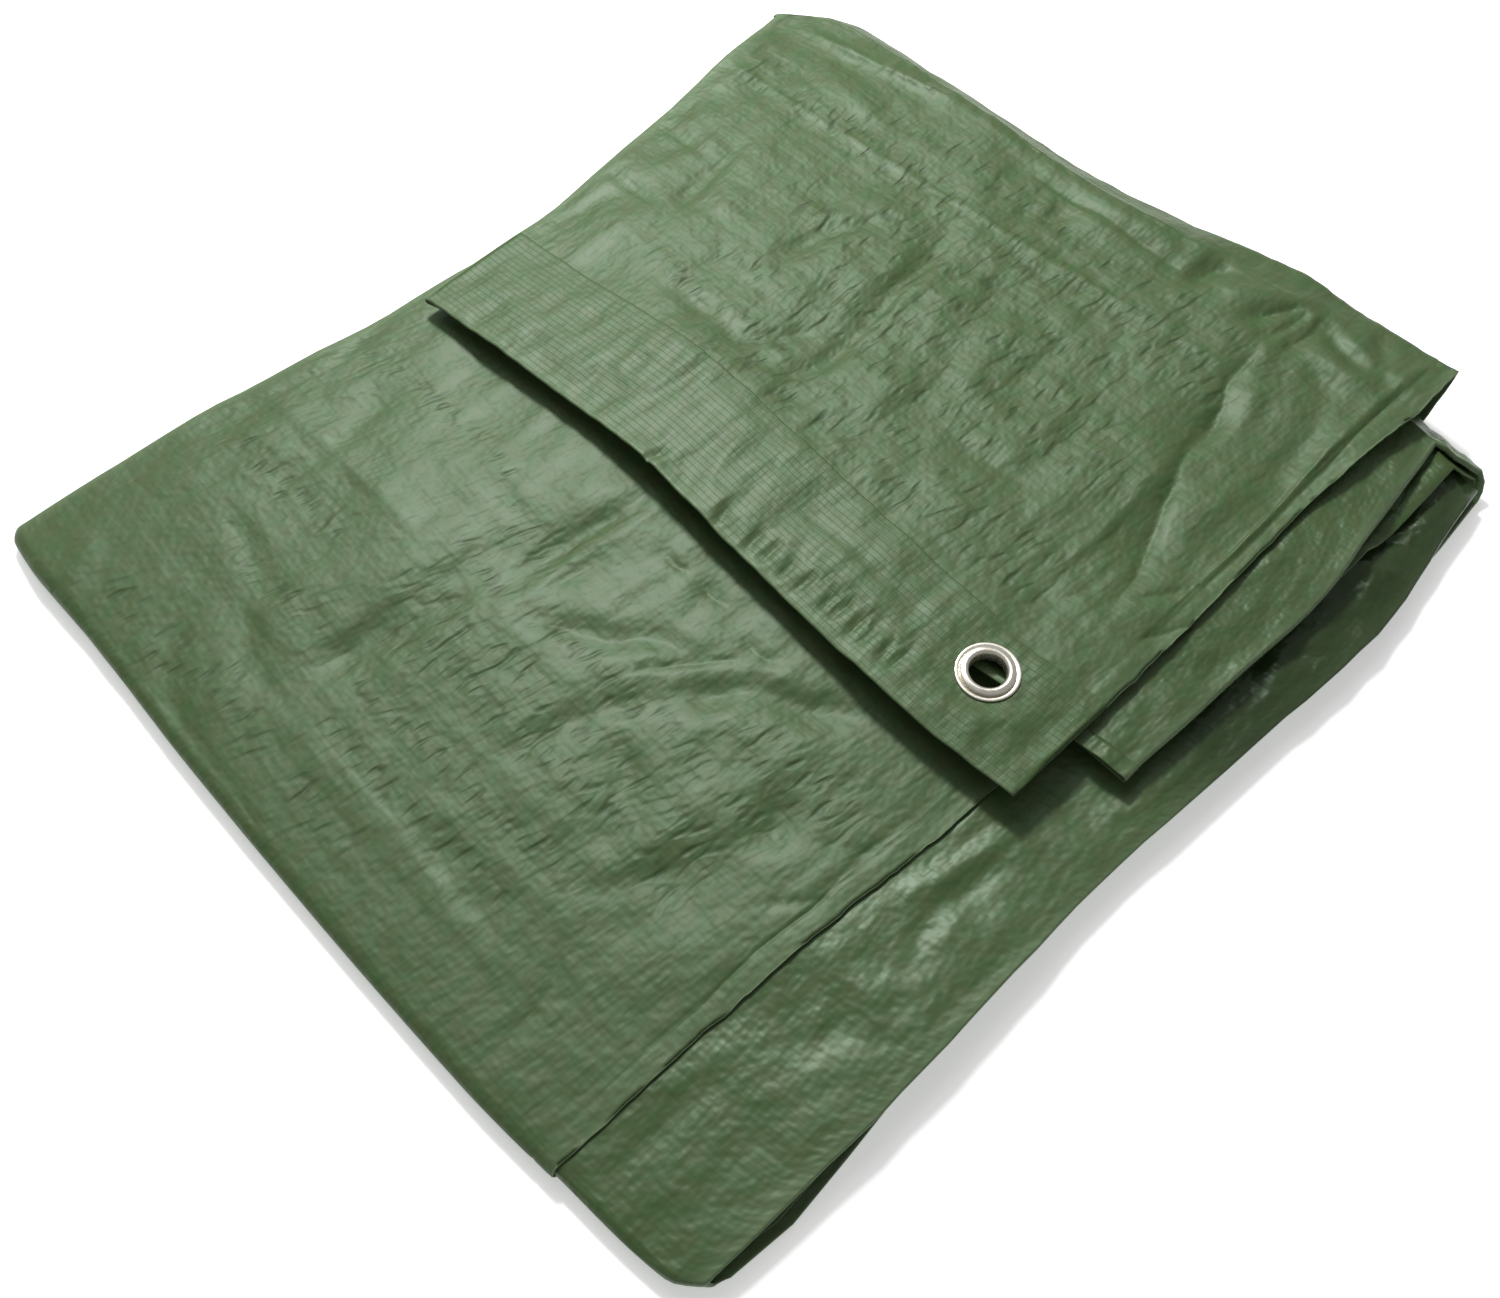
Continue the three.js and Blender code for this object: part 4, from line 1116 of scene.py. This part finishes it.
def platedMetal(name):
    material, tree = newMaterial(name)
    place = addNode(tree, "ShaderNodeTexCoord")
    cloud = addNode(tree, "ShaderNodeTexNoise", inputs={
        "Vector": place.outputs["Object"], "Scale": nickel["grain"], "Detail": 2.0,
    })
    grain = cloud.outputs["Fac"]
    smoothest, roughest = nickel["roughness"]
    roughness = addNode(tree, "ShaderNodeMapRange", inputs={
        "Value": grain, "To Min": smoothest, "To Max": roughest,
    })
    tone = mixed(tree, grain, linearColour(nickel["warm"]), linearColour(nickel["bright"]))
    bump = addNode(tree, "ShaderNodeBump", inputs={
        "Strength": 1.0, "Distance": nickel["bump"], "Height": grain,
    })
    addSurface(tree, {
        "Base Color": tone, "Roughness": roughness.outputs["Result"], "Normal": bump.outputs["Normal"],
        "Metallic": nickel["metallic"],
    })
    return material


print("finishing the materials")
tarpCloth.data.materials.append(wovenPolyethylene("coated woven polyethylene", 0.0))
hemStrip.data.materials.append(wovenPolyethylene("coated woven polyethylene, doubled", 1.0))
plated = platedMetal("nickel-plated brass")
for ring in (eyeletBarrel, eyeletWasher):
    ring.data.materials.append(plated)

for piece, node, slotName in (
    (tarpCloth, "tarp_cloth", "poly_cloth"),
    (hemStrip, "hem_strip", "poly_cloth"),
    (eyeletBarrel, "eyelet", "plated_steel"),
    (eyeletWasher, "eyelet_washer", "plated_steel"),
):
    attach(piece, "root")
    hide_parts(node)

# Pale floor, studio light from behind the pack, and the camera where the photo was taken from
studio = {
    "floor": "#fbfbfa", "floorSize": 6.0, "floorRoughness": 0.9, "light": "#ffffff", "world": 0.24,
    "floorGlow": 0.4,
    "lamps": {
        "key": {"power": 10.4, "size": 0.16, "distance": 1.1, "azimuth": 240.0, "elevation": 55.0},
        "softbox": {"power": 6.4, "size": 1.2, "distance": 1.3, "azimuth": 246.0, "elevation": 52.0},
    },
    "cameraPlace": (249.21, -246.45, 480.0), "cameraElevation": 58.9, "cameraAzimuth": 45.7,
    "lens": 38.88, "sensor": 36.0, "clipStart": 0.01,
}


def makeStudio():
    bm = bmesh.new()
    bmesh.ops.create_grid(bm, x_segments=1, y_segments=1, size=studio["floorSize"] / 2)
    floor = newPiece("floor", bm)
    material, tree = newMaterial("white acrylic, lit from below")
    addSurface(tree, {
        "Base Color": linearColour(studio["floor"]), "Roughness": studio["floorRoughness"],
        "Emission Color": linearColour(studio["light"]), "Emission Strength": studio["floorGlow"],
    })
    floor.data.materials.append(material)

    world = bpy.data.worlds.new("soft white surround")
    world.use_nodes = True
    surround = world.node_tree.nodes["Background"].inputs
    surround["Color"].default_value = linearColour(studio["light"])
    surround["Strength"].default_value = studio["world"]
    bpy.context.scene.world = world

    for lampName, lampKind in studio["lamps"].items():
        light = bpy.data.lights.new(lampName, "AREA")
        light.shape = "SQUARE"
        light.size = lampKind["size"]
        light.energy = lampKind["power"]
        lamp = bpy.data.objects.new(lampName, light)
        azimuth, elevation = math.radians(lampKind["azimuth"]), math.radians(lampKind["elevation"])
        level = math.cos(elevation)
        towards = Vector((math.sin(azimuth) * level, -math.cos(azimuth) * level, math.sin(elevation)))
        lamp.location = towards * lampKind["distance"]
        lamp.rotation_euler = towards.to_track_quat("Z", "Y").to_euler()
        bpy.context.collection.objects.link(lamp)

    view = bpy.data.cameras.new("camera")
    view.sensor_width = studio["sensor"]
    view.lens = studio["lens"]
    view.clip_start = studio["clipStart"]
    camera = bpy.data.objects.new("camera", view)
    camera.location = Vector(np.array(studio["cameraPlace"]) + drawingOrigin) * metresPerMm
    tilt = math.radians(90 - studio["cameraElevation"])
    camera.rotation_euler = (tilt, 0, math.radians(studio["cameraAzimuth"]))
    bpy.context.collection.objects.link(camera)
    bpy.context.scene.camera = camera
    bpy.context.scene.view_settings.view_transform = "Standard"


print("setting the studio")
makeStudio()
